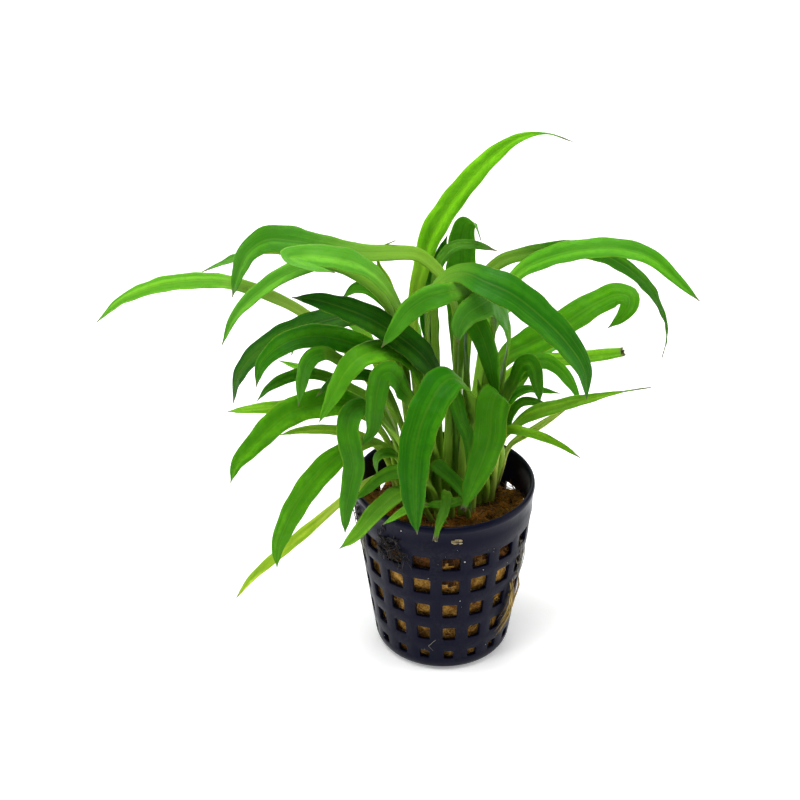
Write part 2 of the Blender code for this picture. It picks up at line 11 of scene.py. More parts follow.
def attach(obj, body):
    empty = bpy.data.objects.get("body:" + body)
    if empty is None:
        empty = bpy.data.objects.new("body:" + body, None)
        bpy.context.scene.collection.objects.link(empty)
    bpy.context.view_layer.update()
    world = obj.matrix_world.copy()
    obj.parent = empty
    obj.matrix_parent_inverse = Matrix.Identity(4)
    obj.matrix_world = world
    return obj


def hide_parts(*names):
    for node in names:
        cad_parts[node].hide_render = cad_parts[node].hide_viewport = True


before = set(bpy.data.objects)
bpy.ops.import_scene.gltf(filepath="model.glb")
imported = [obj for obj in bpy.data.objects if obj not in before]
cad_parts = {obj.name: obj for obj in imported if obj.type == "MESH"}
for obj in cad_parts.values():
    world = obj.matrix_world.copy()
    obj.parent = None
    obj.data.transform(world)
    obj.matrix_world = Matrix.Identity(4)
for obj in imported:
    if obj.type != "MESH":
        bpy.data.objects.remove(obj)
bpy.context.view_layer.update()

# Net pot: a 2 inch basket, moulded in one piece from blue-black polypropylene. Five rows of
# windows get smaller towards the foot, a ring of slots opens the floor, and a plain band with a
# rounded lip closes the top.
MM = 0.001
POT_COLUMNS = 18
FIRST_COLUMN = -85.9
COLUMN_TURN = 360.0 / POT_COLUMNS
FIRST_EDGE = FIRST_COLUMN - COLUMN_TURN / 2
WINDOW_CORNER = 0.55
WINDOW_SIDE_POINTS = 6
WINDOW_EDGE_ROUND = 0.16
WALL_STEPS = POT_COLUMNS * WINDOW_SIDE_POINTS
SHARP_EDGE = 1.0
SMOOTH_UP_TO = 50
SAME_PLACE = 0.00001

# Each row of windows: where the row's stretch of wall starts and ends, the window's middle, width
# and height.
WINDOW_ROWS = (
    (46.0, 37.5, 41.7, 5.3, 4.6),
    (37.5, 28.4, 33.0, 5.1, 5.4),
    (28.4, 19.2, 23.6, 4.3, 5.0),
    (19.2, 10.2, 14.6, 3.8, 4.8),
    (10.2, 3.9, 6.1, 2.9, 3.0),
)

# The wall's section, by the height that it is measured at (below zero it runs along the floor):
# outer radius, outer height, inner radius, inner height.
POT_SECTION = np.array((
    (55.0, 25.75, 55.0, 25.75, 55.0),
    (54.85, 26.15, 54.86, 25.3, 54.8),
    (54.4, 26.42, 54.45, 25.05, 54.3),
    (53.6, 26.5, 53.7, 24.95, 53.6),
    (52.9, 26.4, 53.0, 24.9, 52.9),
    (52.6, 26.1, 52.55, 24.9, 52.6),
    (49.4, 26.0, 49.4, 24.9, 49.4),
    (46.6, 25.95, 46.6, 24.8, 46.6),
    (46.0, 25.75, 46.0, 24.6, 46.0),
    (37.5, 24.88, 37.5, 23.78, 37.5),
    (28.4, 23.6, 28.4, 22.5, 28.4),
    (19.2, 22.3, 19.2, 21.2, 19.2),
    (10.2, 21.02, 10.2, 19.92, 10.2),
    (3.9, 20.1, 3.9, 19.0, 4.0),
    (3.0, 19.95, 3.0, 18.9, 3.3),
    (1.8, 19.5, 1.8, 18.4, 2.3),
    (0.9, 18.85, 0.85, 17.8, 1.6),
    (0.3, 18.05, 0.25, 17.1, 1.2),
    (0.0, 17.0, 0.0, 16.3, 1.1),
    (-2.0, 15.2, 0.0, 15.2, 1.1),
    (-10.0, 7.0, 0.0, 7.0, 1.1),
    (-14.0, 3.0, 0.0, 3.0, 1.1),
))[::-1]
FLOOR_SLOT = (-2.0, -10.0, -6.0, 2.4, 5.6)
OUTER = 0
INNER = 1


def pot_place(surface, turn, level):
    radius = np.interp(level, POT_SECTION[:, 0], POT_SECTION[:, 1 + 2 * surface])
    height = np.interp(level, POT_SECTION[:, 0], POT_SECTION[:, 2 + 2 * surface])
    around = math.radians(turn)
    return (MM * radius * math.cos(around), MM * radius * math.sin(around), MM * height)


def wall_radius(high):
    """The pot's outer radius at a height."""
    return np.interp(high, POT_SECTION[:, 0], POT_SECTION[:, 1])


def window_outline(width, height):
    """Points round a window, from the middle of its lower left corner, level with each side."""
    right = width / 2 - WINDOW_CORNER
    top = height / 2 - WINDOW_CORNER
    corners = ((-right, -top), (right, -top), (right, top), (-right, top))
    points = []
    for corner, (x, y) in enumerate(corners):
        next_x, next_y = corners[(corner + 1) % len(corners)]
        heading = math.radians(90 * corner - 90)
        bends = [(x, y, heading - math.radians(turn)) for turn in (45, 22.5, 0)]
        bends += [((x + next_x) / 2, (y + next_y) / 2, heading)]
        bends += [(next_x, next_y, heading + math.radians(turn)) for turn in (0, 22.5)]
        for middle_x, middle_y, facing in bends:
            points.append((middle_x + WINDOW_CORNER * math.cos(facing),
                           middle_y + WINDOW_CORNER * math.sin(facing)))
    return points


def frame_outline(left, right, bottom, top):
    """As many points round the piece of wall that the window is cut in."""
    sides = (((left, bottom), (right, bottom)), ((right, bottom), (right, top)),
             ((right, top), (left, top)), ((left, top), (left, bottom)))
    points = []
    for (x, y), (next_x, next_y) in sides:
        for step in range(WINDOW_SIDE_POINTS):
            share = step / WINDOW_SIDE_POINTS
            points.append((x + (next_x - x) * share, y + (next_y - y) * share))
    return points


def add_window(shape, column, top, bottom, middle, width, height):
    turn = FIRST_COLUMN + COLUMN_TURN * column
    radius = wall_radius(middle)
    window = [(turn + math.degrees(x / radius), middle + y) for x, y in window_outline(width, height)]
    around = frame_outline(turn - COLUMN_TURN / 2, turn + COLUMN_TURN / 2, bottom, top)
    rings = {}
    for surface in (OUTER, INNER):
        rings[surface, "window"] = [shape.verts.new(pot_place(surface, *place)) for place in window]
        rings[surface, "frame"] = [shape.verts.new(pot_place(surface, *place)) for place in around]
    count = len(window)
    for place in range(count):
        beside = (place + 1) % count
        for first, second in (((OUTER, "frame"), (OUTER, "window")), ((OUTER, "window"), (INNER, "window")),
                              ((INNER, "window"), (INNER, "frame"))):
            near, far = rings[first], rings[second]
            shape.faces.new((near[place], near[beside], far[beside], far[place]))


def wall_ring(shape, surface, level):
    """A ring of the wall, with its points in line with those round the windows."""
    return [shape.verts.new(pot_place(surface, FIRST_EDGE + step * 360.0 / WALL_STEPS, level))
            for step in range(WALL_STEPS)]


def add_plain_wall(shape, levels):
    for surface in (OUTER, INNER):
        rings = [wall_ring(shape, surface, level) for level in levels]
        for upper, lower in zip(rings, rings[1:]):
            for step in range(WALL_STEPS):
                beside = (step + 1) % WALL_STEPS
                shape.faces.new((upper[step], upper[beside], lower[beside], lower[step]))


def close_floor(shape, level):
    for surface in (OUTER, INNER):
        shape.faces.new(wall_ring(shape, surface, level))


def tree_node(tree, kind, links=None, **settings):
    """A shader node with its settings, and its inputs linked or set by name or number."""
    made = tree.nodes.new(kind)
    for setting, value in settings.items():
        setattr(made, setting, value)
    for socket, value in (links or {}).items():
        if isinstance(value, bpy.types.NodeSocket):
            tree.links.new(value, made.inputs[socket])
        else:
            made.inputs[socket].default_value = value
    return made


def with_alpha(value):
    """A colour with its fourth number, or any other value as it is."""
    return (*value, 1.0) if isinstance(value, tuple) else value


def mixed(tree, share, first, second, blend="MIX"):
    made = tree_node(tree, "ShaderNodeMix", {0: share, 6: with_alpha(first), 7: with_alpha(second)},
                     data_type="RGBA", blend_type=blend)
    return made.outputs[2]


def reckon(tree, operation, *values):
    """The result of one step of arithmetic on sockets and numbers."""
    made = tree_node(tree, "ShaderNodeMath", dict(enumerate(values)), operation=operation)
    return made.outputs[0]


def ramped(tree, value, low, high, to_low=0.0, to_high=1.0):
    made = tree_node(tree, "ShaderNodeMapRange",
                     {"Value": value, "From Min": low, "From Max": high, "To Min": to_low, "To Max": to_high},
                     interpolation_type="SMOOTHSTEP")
    return made.outputs[0]


def noise_over(tree, place, scale, detail, roughness=0.5):
    made = tree_node(tree, "ShaderNodeTexNoise",
                     {"Vector": place, "Scale": scale, "Detail": detail, "Roughness": roughness})
    return made.outputs[0]


FLOAT = "NodeSocketFloat"
COLOUR = "NodeSocketColor"


def new_group(name, colours, numbers):
    """A group that turns its own colours and numbers into a surface's colour, roughness and height."""
    group = bpy.data.node_groups.new(name, "ShaderNodeTree")
    sockets = [(socket, "INPUT", COLOUR) for socket in colours]
    sockets += [(socket, "INPUT", FLOAT) for socket in numbers]
    sockets += [("Colour", "OUTPUT", COLOUR), ("Roughness", "OUTPUT", FLOAT), ("Height", "OUTPUT", FLOAT)]
    for socket, side, kind in sockets:
        group.interface.new_socket(socket, in_out=side, socket_type=kind)
    return group, group.nodes.new("NodeGroupInput").outputs, group.nodes.new("NodeGroupOutput").inputs


def finish_material(name, group, values, bump, **shader_values):
    """A Principled finish whose colour, roughness and relief come from a group."""
    made = bpy.data.materials.new(name)
    made.use_nodes = True
    tree = made.node_tree
    shader = tree.nodes["Principled BSDF"]
    skin = tree_node(tree, "ShaderNodeGroup",
                     {socket: with_alpha(value) for socket, value in values.items()}, node_tree=group)
    tree.links.new(skin.outputs["Colour"], shader.inputs["Base Color"])
    tree.links.new(skin.outputs["Roughness"], shader.inputs["Roughness"])
    relief = tree_node(tree, "ShaderNodeBump",
                       {"Height": skin.outputs["Height"], "Strength": 1.0, "Distance": bump})
    tree.links.new(relief.outputs[0], shader.inputs["Normal"])
    for socket, value in shader_values.items():
        shader.inputs[socket.replace("_", " ")].default_value = value
    return made


# Worn plastic: one noise for patches and one for grain. Where both are strong, dust dulls the body
# colour, and the patches are rougher than the rest.
PATCH_EDGES = (0.42, 0.68)
GRAIN_EDGES = (0.35, 0.7)
worn, worn_in, worn_out = new_group(
    "worn surface", ("Body", "Dust"), ("Dust Share", "Patch Scale", "Grain Scale", "Smooth", "Rough"))
worn_place = worn.nodes.new("ShaderNodeTexCoord").outputs["Object"]
patches = noise_over(worn, worn_place, worn_in["Patch Scale"], 5.0)
grain = noise_over(worn, worn_place, worn_in["Grain Scale"], 3.0)
patch_mask = ramped(worn, patches, *PATCH_EDGES)
grain_mask = ramped(worn, grain, *GRAIN_EDGES)
dusty = reckon(worn, "MULTIPLY", reckon(worn, "MULTIPLY", patch_mask, grain_mask), worn_in["Dust Share"])
worn.links.new(mixed(worn, dusty, worn_in["Body"], worn_in["Dust"]), worn_out["Colour"])
rougher = tree_node(worn, "ShaderNodeMapRange", {"Value": patch_mask, "To Min": worn_in["Smooth"],
                                                 "To Max": worn_in["Rough"]})
worn.links.new(rougher.outputs[0], worn_out["Roughness"])
worn.links.new(grain, worn_out["Height"])

pot_plastic = finish_material(
    "net pot plastic", worn,
    {"Body": (0.0035, 0.0042, 0.014), "Dust": (0.05, 0.05, 0.05), "Dust Share": 0.15, "Patch Scale": 95.0,
     "Grain Scale": 1300.0, "Smooth": 0.28, "Rough": 0.45},
    bump=0.00003, Specular_IOR_Level=0.05, Sheen_Weight=0.09, Sheen_Roughness=0.25)


def placed(name, data):
    """A new object in the scene that shows the data."""
    made = bpy.data.objects.new(name, data)
    bpy.context.scene.collection.objects.link(made)
    return made


def add_piece(name, mesh, material, slot, *stands_for):
    mesh.name = name
    mesh.materials.append(material)
    piece = placed(name, mesh)
    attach(piece, "root")
    if stands_for:
        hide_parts(*stands_for)
    return piece


def smoothed(shape, mesh):
    """The mesh, with the shape put into it and shaded smooth."""
    shape.to_mesh(mesh)
    shape.free()
    mesh.shade_smooth()
    return mesh


def build_net_pot():
    shape = bmesh.new()
    for column in range(POT_COLUMNS):
        for row in WINDOW_ROWS:
            add_window(shape, column, *row)
        add_window(shape, column, *FLOOR_SLOT)
    top_levels = [level for level in POT_SECTION[::-1, 0] if level >= WINDOW_ROWS[0][0]]
    foot_levels = [level for level in POT_SECTION[::-1, 0] if WINDOW_ROWS[-1][1] >= level >= FLOOR_SLOT[0]]
    add_plain_wall(shape, top_levels)
    add_plain_wall(shape, foot_levels)
    add_plain_wall(shape, (FLOOR_SLOT[1], POT_SECTION[0, 0]))
    close_floor(shape, POT_SECTION[0, 0])
    bmesh.ops.remove_doubles(shape, verts=shape.verts, dist=SAME_PLACE)
    bmesh.ops.recalc_face_normals(shape, faces=shape.faces)
    sharp = [edge for edge in shape.edges
             if len(edge.link_faces) == 2 and edge.calc_face_angle() > SHARP_EDGE]
    bmesh.ops.bevel(shape, geom=sharp, offset=MM * WINDOW_EDGE_ROUND, segments=2, profile=0.5,
                    affect="EDGES", clamp_overlap=True)
    mesh = smoothed(shape, bpy.data.meshes.new("net_pot"))
    mesh.set_sharp_from_angle(angle=math.radians(SMOOTH_UP_TO))
    return mesh


add_piece("net_pot_basket", build_net_pot(), pot_plastic, "net_pot", "net_pot")

# Rockwool: a plug of spun mineral fibre, stained brown and ochre, pressed into the pot. Its top is
# a low dome of matted brown fibre, where each leaf stands, and its sides show in the windows.
PLUG_TURNS = 168
PLUG_LEVELS = 92
PLUG_TOP_SHARE = 0.45
PLUG_SIDE_SHARE = 0.9
PLUG_FOOT_SHARE = 0.1
PLUG_GAP = 1.55
PLUG_EDGE = 45.6
PLUG_DOME = 2.4
PLUG_REACH = 26.0
PLUG_FLOOR = 1.7
PLUG_FOOT = 1.0
FLOOR_RADIUS = 17.0

# The slow swell of the top: its height, and how fine it is and where it starts, across and deep.
SWELL_HEIGHT = 0.35
SWELL_ACROSS = (0.31, 0.8)
SWELL_DEEP = (0.27, 0.4)

# Where the plug has sunk from the wall, behind the leaves: which way round, how far round, how deep.
# It sinks outside one radius and above one height.
SUNK_EDGES = ((44.0, 17.0, 6.0), (147.0, 13.0, 6.5))
SUNK_OUTSIDE = 14.5
SUNK_OVER = 8.0
SUNK_POWER = 1.5
SUNK_ABOVE = 33.0

# How fine and how high the fibre's lumps, mats and strands are, and where on them the surface lies.
LUMP_SCALE, LUMP_HEIGHT = 0.2, 1.4
MAT_SCALE, MAT_HEIGHT = 0.55, 0.8
MAT_SHIFT = Vector((7, 3, 1))
STRAND_SCALE, STRAND_SCALE_UP, STRAND_HEIGHT = 1.6, 2.6, 0.6
SIDE_LEVEL, SIDE_RELIEF = 0.5, 0.9
TOP_LEVEL, TOP_RELIEF = 0.3, 1.1


def edge_sink(around):
    return sum(deep * math.exp(-(math.remainder(math.degrees(around) - turn, 360.0) / wide) ** 2)
               for turn, wide, deep in SUNK_EDGES)


def plug_top(across, deep):
    radius = math.hypot(across, deep)
    dome = PLUG_EDGE + PLUG_DOME * (1.0 - (radius / PLUG_REACH) ** 2)
    outside = min(1.0, max(0.0, (radius - SUNK_OUTSIDE) / SUNK_OVER))
    sunk = edge_sink(math.atan2(deep, across)) * outside ** SUNK_POWER
    swell_across = math.sin(SWELL_ACROSS[0] * across + SWELL_ACROSS[1])
    swell_deep = math.cos(SWELL_DEEP[0] * deep - SWELL_DEEP[1])
    return dome + SWELL_HEIGHT * swell_across * swell_deep - sunk


def clumps(across, deep, high):
    """How far the fibre stands out: broad lumps, then matted strands."""
    place = Vector((across, deep, high))
    drawn_out = Vector((across * STRAND_SCALE, deep * STRAND_SCALE, high * STRAND_SCALE_UP))
    lumps = noise.noise(place * LUMP_SCALE) * LUMP_HEIGHT
    matted = noise.noise(place * MAT_SCALE + MAT_SHIFT) * MAT_HEIGHT
    strands = abs(noise.noise(drawn_out)) * STRAND_HEIGHT
    return lumps + matted + strands


def plug_section(share):
    """Radius, height and which way the surface faces (outwards, upwards) along the plug's section."""
    edge = wall_radius(PLUG_EDGE) - PLUG_GAP
    if share < PLUG_TOP_SHARE:
        return edge * share / PLUG_TOP_SHARE, None, 0.0, 1.0
    down = (share - PLUG_TOP_SHARE) / (1.0 - PLUG_TOP_SHARE)
    if down < PLUG_SIDE_SHARE:
        height = PLUG_EDGE - (PLUG_EDGE - PLUG_FLOOR - PLUG_FOOT) * down / PLUG_SIDE_SHARE
        return wall_radius(height) - PLUG_GAP, height, 1.0, 0.0
    inward = (down - PLUG_SIDE_SHARE) / PLUG_FOOT_SHARE
    return (FLOOR_RADIUS - PLUG_GAP) * (1.0 - inward), PLUG_FLOOR, 0.0, 0.0


def band_faces(rings, around):
    """Faces from each ring of points to the next, where the rings are numbered one after the other."""
    faces = []
    for row in range(0, (rings - 1) * around, around):
        for step in range(around):
            beside = (step + 1) % around
            faces.append((row + step, row + around + step, row + around + beside, row + beside))
    return faces


def closed_mesh(points, faces, weld=0.0):
    """A smooth mesh that faces outwards all over, where points nearer than weld are made one."""
    mesh = bpy.data.meshes.new("closed")
    mesh.from_pydata(points, [], faces)
    shape = bmesh.new()
    shape.from_mesh(mesh)
    if weld:
        bmesh.ops.remove_doubles(shape, verts=shape.verts, dist=weld)
    bmesh.ops.recalc_face_normals(shape, faces=shape.faces)
    return smoothed(shape, mesh)


def build_rockwool():
    points = []
    for level in range(PLUG_LEVELS + 1):
        radius, height, outwards, upwards = plug_section(level / PLUG_LEVELS)
        for step in range(PLUG_TURNS):
            around = 2 * math.pi * step / PLUG_TURNS
            across = radius * math.cos(around)
            deep = radius * math.sin(around)
            if height is None:
                high = plug_top(across, deep)
            else:
                above = max(0.0, (height - SUNK_ABOVE) / (PLUG_EDGE - SUNK_ABOVE))
                high = height - edge_sink(around) * above
            out = clumps(across, deep, high)
            push = (out - SIDE_LEVEL) * outwards * SIDE_RELIEF
            points.append((MM * (across + push * math.cos(around)), MM * (deep + push * math.sin(around)),
                           MM * (high + upwards * (out - TOP_LEVEL) * TOP_RELIEF)))
    return closed_mesh(points, band_faces(PLUG_LEVELS + 1, PLUG_TURNS), weld=SAME_PLACE / 2)


# The stain: ochre where the fibre is clean, brown and nearly black where it is wet or rotted. The
# crumbs share it.
STAIN_EDGE = 0.13
THREAD_SCALE = 2600.0

# Where the threads' noise starts and ends, and how bright and how rough the fibre is there.
THREAD_LIGHT = (0.3, 0.7, 0.55, 1.25)
THREAD_ROUGH = (0.2, 0.8, 0.7, 0.95)
stain, stain_in, stain_out = new_group("stained fibre", ("Clean", "Stained"), ("Scale", "Balance"))
stain_place = stain.nodes.new("ShaderNodeTexCoord").outputs["Object"]
blotches = noise_over(stain, stain_place, stain_in["Scale"], 6.0, roughness=0.65)
threads = noise_over(stain, stain_place, THREAD_SCALE, 4.0)
lowest = reckon(stain, "SUBTRACT", stain_in["Balance"], STAIN_EDGE)
highest = reckon(stain, "ADD", stain_in["Balance"], STAIN_EDGE)
stain_mask = tree_node(stain, "ShaderNodeMapRange",
                       {"Value": blotches, "From Min": lowest, "From Max": highest})
thread_light = ramped(stain, threads, *THREAD_LIGHT)
stained = mixed(stain, stain_mask.outputs[0], stain_in["Stained"], stain_in["Clean"])
bright = tree_node(stain, "ShaderNodeCombineColor", {0: thread_light, 1: thread_light, 2: thread_light})
stain.links.new(mixed(stain, 1.0, stained, bright.outputs[0], "MULTIPLY"), stain_out["Colour"])
stain.links.new(ramped(stain, threads, *THREAD_ROUGH), stain_out["Roughness"])
stain.links.new(threads, stain_out["Height"])

wool_side = finish_material(
    "rockwool side", stain,
    {"Clean": (0.5, 0.28, 0.055), "Stained": (0.13, 0.045, 0.008), "Scale": 300.0, "Balance": 0.47},
    bump=0.0002, Specular_IOR_Level=0.1)
wool_top = finish_material(
    "rockwool top", stain,
    {"Clean": (0.58, 0.23, 0.028), "Stained": (0.045, 0.014, 0.002), "Scale": 260.0, "Balance": 0.5},
    bump=0.0003, Specular_IOR_Level=0.1)
# A darker copy of the side finish, for the painted shade under the top.
wool_painted_shade = finish_material(
    "rockwool painted shade", stain,
    {"Clean": (0.2, 0.08, 0.016), "Stained": (0.018, 0.007, 0.002), "Scale": 240.0, "Balance": 0.56},
    bump=0.0003, Specular_IOR_Level=0.1)

plug = add_piece("rockwool_plug", build_rockwool(), wool_side, "rockwool", "rockwool")
plug.data.materials.append(wool_top)
plug.data.materials.append(wool_painted_shade)

# Painted shade: just under the top the plug's sides get a darker copy of the side finish, so the first row of
# windows is dark.
TOP_FINISH = 1
PAINTED_SHADE_FINISH = 2
TOP_FACING = 0.6
PAINTED_SHADE_ABOVE = 37.5
PAINTED_SHADE_SPREAD = 7.0
PAINTED_SHADE_SCALE = 150.0
for face in plug.data.polygons:
    painted_shade_top = PAINTED_SHADE_ABOVE + PAINTED_SHADE_SPREAD * noise.noise(face.center * PAINTED_SHADE_SCALE)
    if face.normal.z > TOP_FACING:
        face.material_index = TOP_FINISH
    elif face.center.z > MM * painted_shade_top:
        face.material_index = PAINTED_SHADE_FINISH

# Loose fibre: the strands that stand out of the plug, matted over its top and in the windows.
# They are one mesh for each kind, of thin three-sided strands.
STRAND_SIDES = 3
STRAND_TAPER = 3.0
STRAND_TIP = 0.15
STRAND_BEND = 0.35
STRAND_BOW = 0.5
STRAND_OFF = 0.1
STRAND_UPRIGHT = 0.8
LENGTH_SHARES = (0.5, 1.0)
LIFT_SHARES = (0.1, 1.0)
LIGHT_ROUGHER = 0.2
ANY_HEADING = (0.31, 0.17, 0.93)
NO_LENGTH = 1e-9


def strands_mesh(lines, thick, shades):
    """One mesh of many strands: lines is (strand, point, 3) in millimetres, and thick is their radius."""
    count, points, _ = lines.shape
    along = np.gradient(lines, axis=1)
    along /= np.maximum(np.linalg.norm(along, axis=2, keepdims=True), NO_LENGTH)
    other = np.where(np.abs(along[:, :, 2:3]) < STRAND_UPRIGHT, (0.0, 0.0, 1.0), (1.0, 0.0, 0.0))
    side = np.cross(along, other)
    side /= np.maximum(np.linalg.norm(side, axis=2, keepdims=True), NO_LENGTH)
    up = np.cross(along, side)
    taper = np.minimum(1.0, np.linspace(0.0, 1.0, points)[::-1] * STRAND_TAPER + STRAND_TIP)
    rings = []
    for corner in range(STRAND_SIDES):
        turn = 2 * math.pi * corner / STRAND_SIDES
        spread = (thick[:, None] * taper[None, :])[:, :, None]
        rings.append(lines + (side * math.cos(turn) + up * math.sin(turn)) * spread)
    places = np.stack(rings, axis=2).reshape(-1, 3) * MM
    faces = []
    shade_of = []
    for strand in range(count):
        first = strand * points * STRAND_SIDES
        for point in range(points - 1):
            row = first + point * STRAND_SIDES
            after = row + STRAND_SIDES
            for corner in range(STRAND_SIDES):
                beside = (corner + 1) % STRAND_SIDES
                faces.append((row + corner, row + beside, after + beside, after + corner))
                shade_of.append(shades[strand])
        last = first + (points - 1) * STRAND_SIDES
        faces.append(tuple(reversed(range(first, first + STRAND_SIDES))))
        faces.append(tuple(range(last, last + STRAND_SIDES)))
        shade_of += [shades[strand]] * 2
    mesh = bpy.data.meshes.new("strands")
    mesh.from_pydata(places.tolist(), [], faces)
    layer = mesh.uv_layers.new(name="strand")
    for face, shade in zip(mesh.polygons, shade_of):
        for loop in face.loop_indices:
            layer.data[loop].uv = (shade, 0.5)
    mesh.shade_smooth()
    return mesh


strand, strand_in, strand_out = new_group("strand colour", ("Dark", "Light"), ("Gloss",))
strand_uv = tree_node(strand, "ShaderNodeUVMap", uv_map="strand")
strand_shade = tree_node(strand, "ShaderNodeSeparateXYZ", {0: strand_uv.outputs[0]}).outputs[0]
strand.links.new(mixed(strand, strand_shade, strand_in["Dark"], strand_in["Light"]), strand_out["Colour"])
strand_rough = reckon(strand, "MULTIPLY_ADD", strand_shade, LIGHT_ROUGHER, strand_in["Gloss"])
strand.links.new(strand_rough, strand_out["Roughness"])
strand.links.new(strand_shade, strand_out["Height"])


def strand_finish(name, dark, light, gloss, specular):
    return finish_material(name, strand, {"Dark": dark, "Light": light, "Gloss": gloss}, bump=0.0001,
                           Specular_IOR_Level=specular)


draw = np.random.default_rng(11)


def matted_strands(count, points, length, places, facings, lift):
    """Short bent strands that lie nearly flat on a surface, from its places and the way that it faces."""
    turn = draw.uniform(0, 2 * math.pi, count)
    first = np.cross(facings, ANY_HEADING)
    first /= np.linalg.norm(first, axis=1, keepdims=True)
    second = np.cross(facings, first)
    heading = first * np.cos(turn)[:, None] + second * np.sin(turn)[:, None]
    swerve = first * -np.sin(turn)[:, None] + second * np.cos(turn)[:, None]
    along = np.linspace(-0.5, 0.5, points)[None, :, None]
    long = draw.uniform(*LENGTH_SHARES, count)[:, None, None] * length
    bend = draw.normal(0, STRAND_BEND, count)[:, None, None]
    arch = draw.uniform(*LIFT_SHARES, count)[:, None, None] * lift
    bow = (1.0 - (2 * along) ** 2)
    return (places[:, None, :] + heading[:, None, :] * along * long
            + swerve[:, None, :] * bend * bow * long * STRAND_BOW
            + facings[:, None, :] * (arch * bow + STRAND_OFF))


# The strands on top: how far out they lie, how thick they are, and how their shades are spread.
TOP_STRANDS = 1500
TOP_RADIUS = 23.4
TOP_THICK = (0.05, 0.11)
TOP_SHADES = (1.2, 2.2)
top_turn = draw.uniform(0, 2 * math.pi, TOP_STRANDS)
top_radius = TOP_RADIUS * np.sqrt(draw.uniform(0, 1, TOP_STRANDS))
top_across = top_radius * np.cos(top_turn)
top_deep = top_radius * np.sin(top_turn)
top_high = [plug_top(x, y) + (clumps(x, y, plug_top(x, y)) - TOP_LEVEL) * TOP_RELIEF
            for x, y in zip(top_across, top_deep)]
top_places = np.stack([top_across, top_deep, top_high], axis=1)
top_facing = np.tile((0.0, 0.0, 1.0), (TOP_STRANDS, 1))
top_lines = matted_strands(TOP_STRANDS, points=7, length=5.5, places=top_places, facings=top_facing, lift=1.1)
top_strands = strand_finish("brown fibre", (0.04, 0.012, 0.002), (0.62, 0.3, 0.06), gloss=0.5, specular=0.25)
add_piece("rockwool_top_fibres",
          strands_mesh(top_lines, draw.uniform(*TOP_THICK, TOP_STRANDS), draw.beta(*TOP_SHADES, TOP_STRANDS)),
          top_strands, "rockwool")

# The strands in the windows are ochre, and darkened by painted shade towards the top, as the plug's sides
# are.
SIDE_STRANDS = 1700
SIDE_HEIGHTS = (3.5, 45.0)
SIDE_THICK = (0.04, 0.09)
SIDE_SHADES = (1.6, 1.8)
PAINTED_SHADE_HEIGHTS = (35.0, 39.0)
PAINTED_SHADE_SHARES = (1.0, 0.1)
side_turn = draw.uniform(0, 2 * math.pi, SIDE_STRANDS)
side_high = draw.uniform(*SIDE_HEIGHTS, SIDE_STRANDS)
side_radius = wall_radius(side_high) - PLUG_GAP - STRAND_OFF
side_places = np.stack([side_radius * np.cos(side_turn), side_radius * np.sin(side_turn), side_high], axis=1)
side_facing = np.stack([np.cos(side_turn), np.sin(side_turn), np.zeros(SIDE_STRANDS)], axis=1)
side_lines = matted_strands(SIDE_STRANDS, points=6, length=4.0, places=side_places, facings=side_facing,
                            lift=0.5)
ochre_strands = strand_finish("ochre fibre", (0.15, 0.06, 0.01), (0.68, 0.44, 0.11), gloss=0.6, specular=0.2)
add_piece("rockwool_side_fibres",
          strands_mesh(side_lines, draw.uniform(*SIDE_THICK, SIDE_STRANDS),
                       draw.beta(*SIDE_SHADES, SIDE_STRANDS) * np.interp(side_high, PAINTED_SHADE_HEIGHTS, PAINTED_SHADE_SHARES)),
          ochre_strands, "rockwool")

# Roots: dark, net-like roots and some grey ones have grown out of the windows at the upper left, tan
# and grey ones hang out at the right, and one pale hair lies on the wall.
ROOT_POINTS = 12
ROOT_DEPTH = 0.6
ROOT_COMES_OUT = 5
WANDER_AROUND = 2.2


def on_wall(turn, high, out):
    radius = wall_radius(high) + out
    around = math.radians(turn)
    return np.array((radius * math.cos(around), radius * math.sin(around), high))


def root_tuft(count, points, starts, ends, sag, wander, out):
    """Roots along the wall from (turn, height) to (turn, height), each with its own wander."""
    lines = []
    for _ in range(count):
        start_turn, end_turn = draw.uniform(*starts[0]), draw.uniform(*ends[0])
        start_high, end_high = draw.uniform(*starts[1]), draw.uniform(*ends[1])
        stray = draw.normal(0, wander, (points, 2)).cumsum(axis=0)
        stand = draw.uniform(*out)
        line = []
        for point, share in enumerate(np.linspace(0.0, 1.0, points)):
            turn = start_turn + (end_turn - start_turn) * share + stray[point, 0] * WANDER_AROUND
            high = start_high + (end_high - start_high) * share + stray[point, 1]
            stands_out = -ROOT_DEPTH + (stand + ROOT_DEPTH) * min(1.0, ROOT_COMES_OUT * share)
            line.append(on_wall(turn, high, stands_out + sag * math.sin(math.pi * share)))
        lines.append(line)
    return np.array(lines)


dark_root = strand_finish("dark root", (0.004, 0.003, 0.003), (0.035, 0.025, 0.016), gloss=0.35, specular=0.3)
tan_root = strand_finish("tan root", (0.15, 0.08, 0.015), (0.6, 0.43, 0.13), gloss=0.5, specular=0.3)
grey_root = strand_finish("grey root", (0.06, 0.05, 0.035), (0.4, 0.38, 0.3), gloss=0.5, specular=0.3)

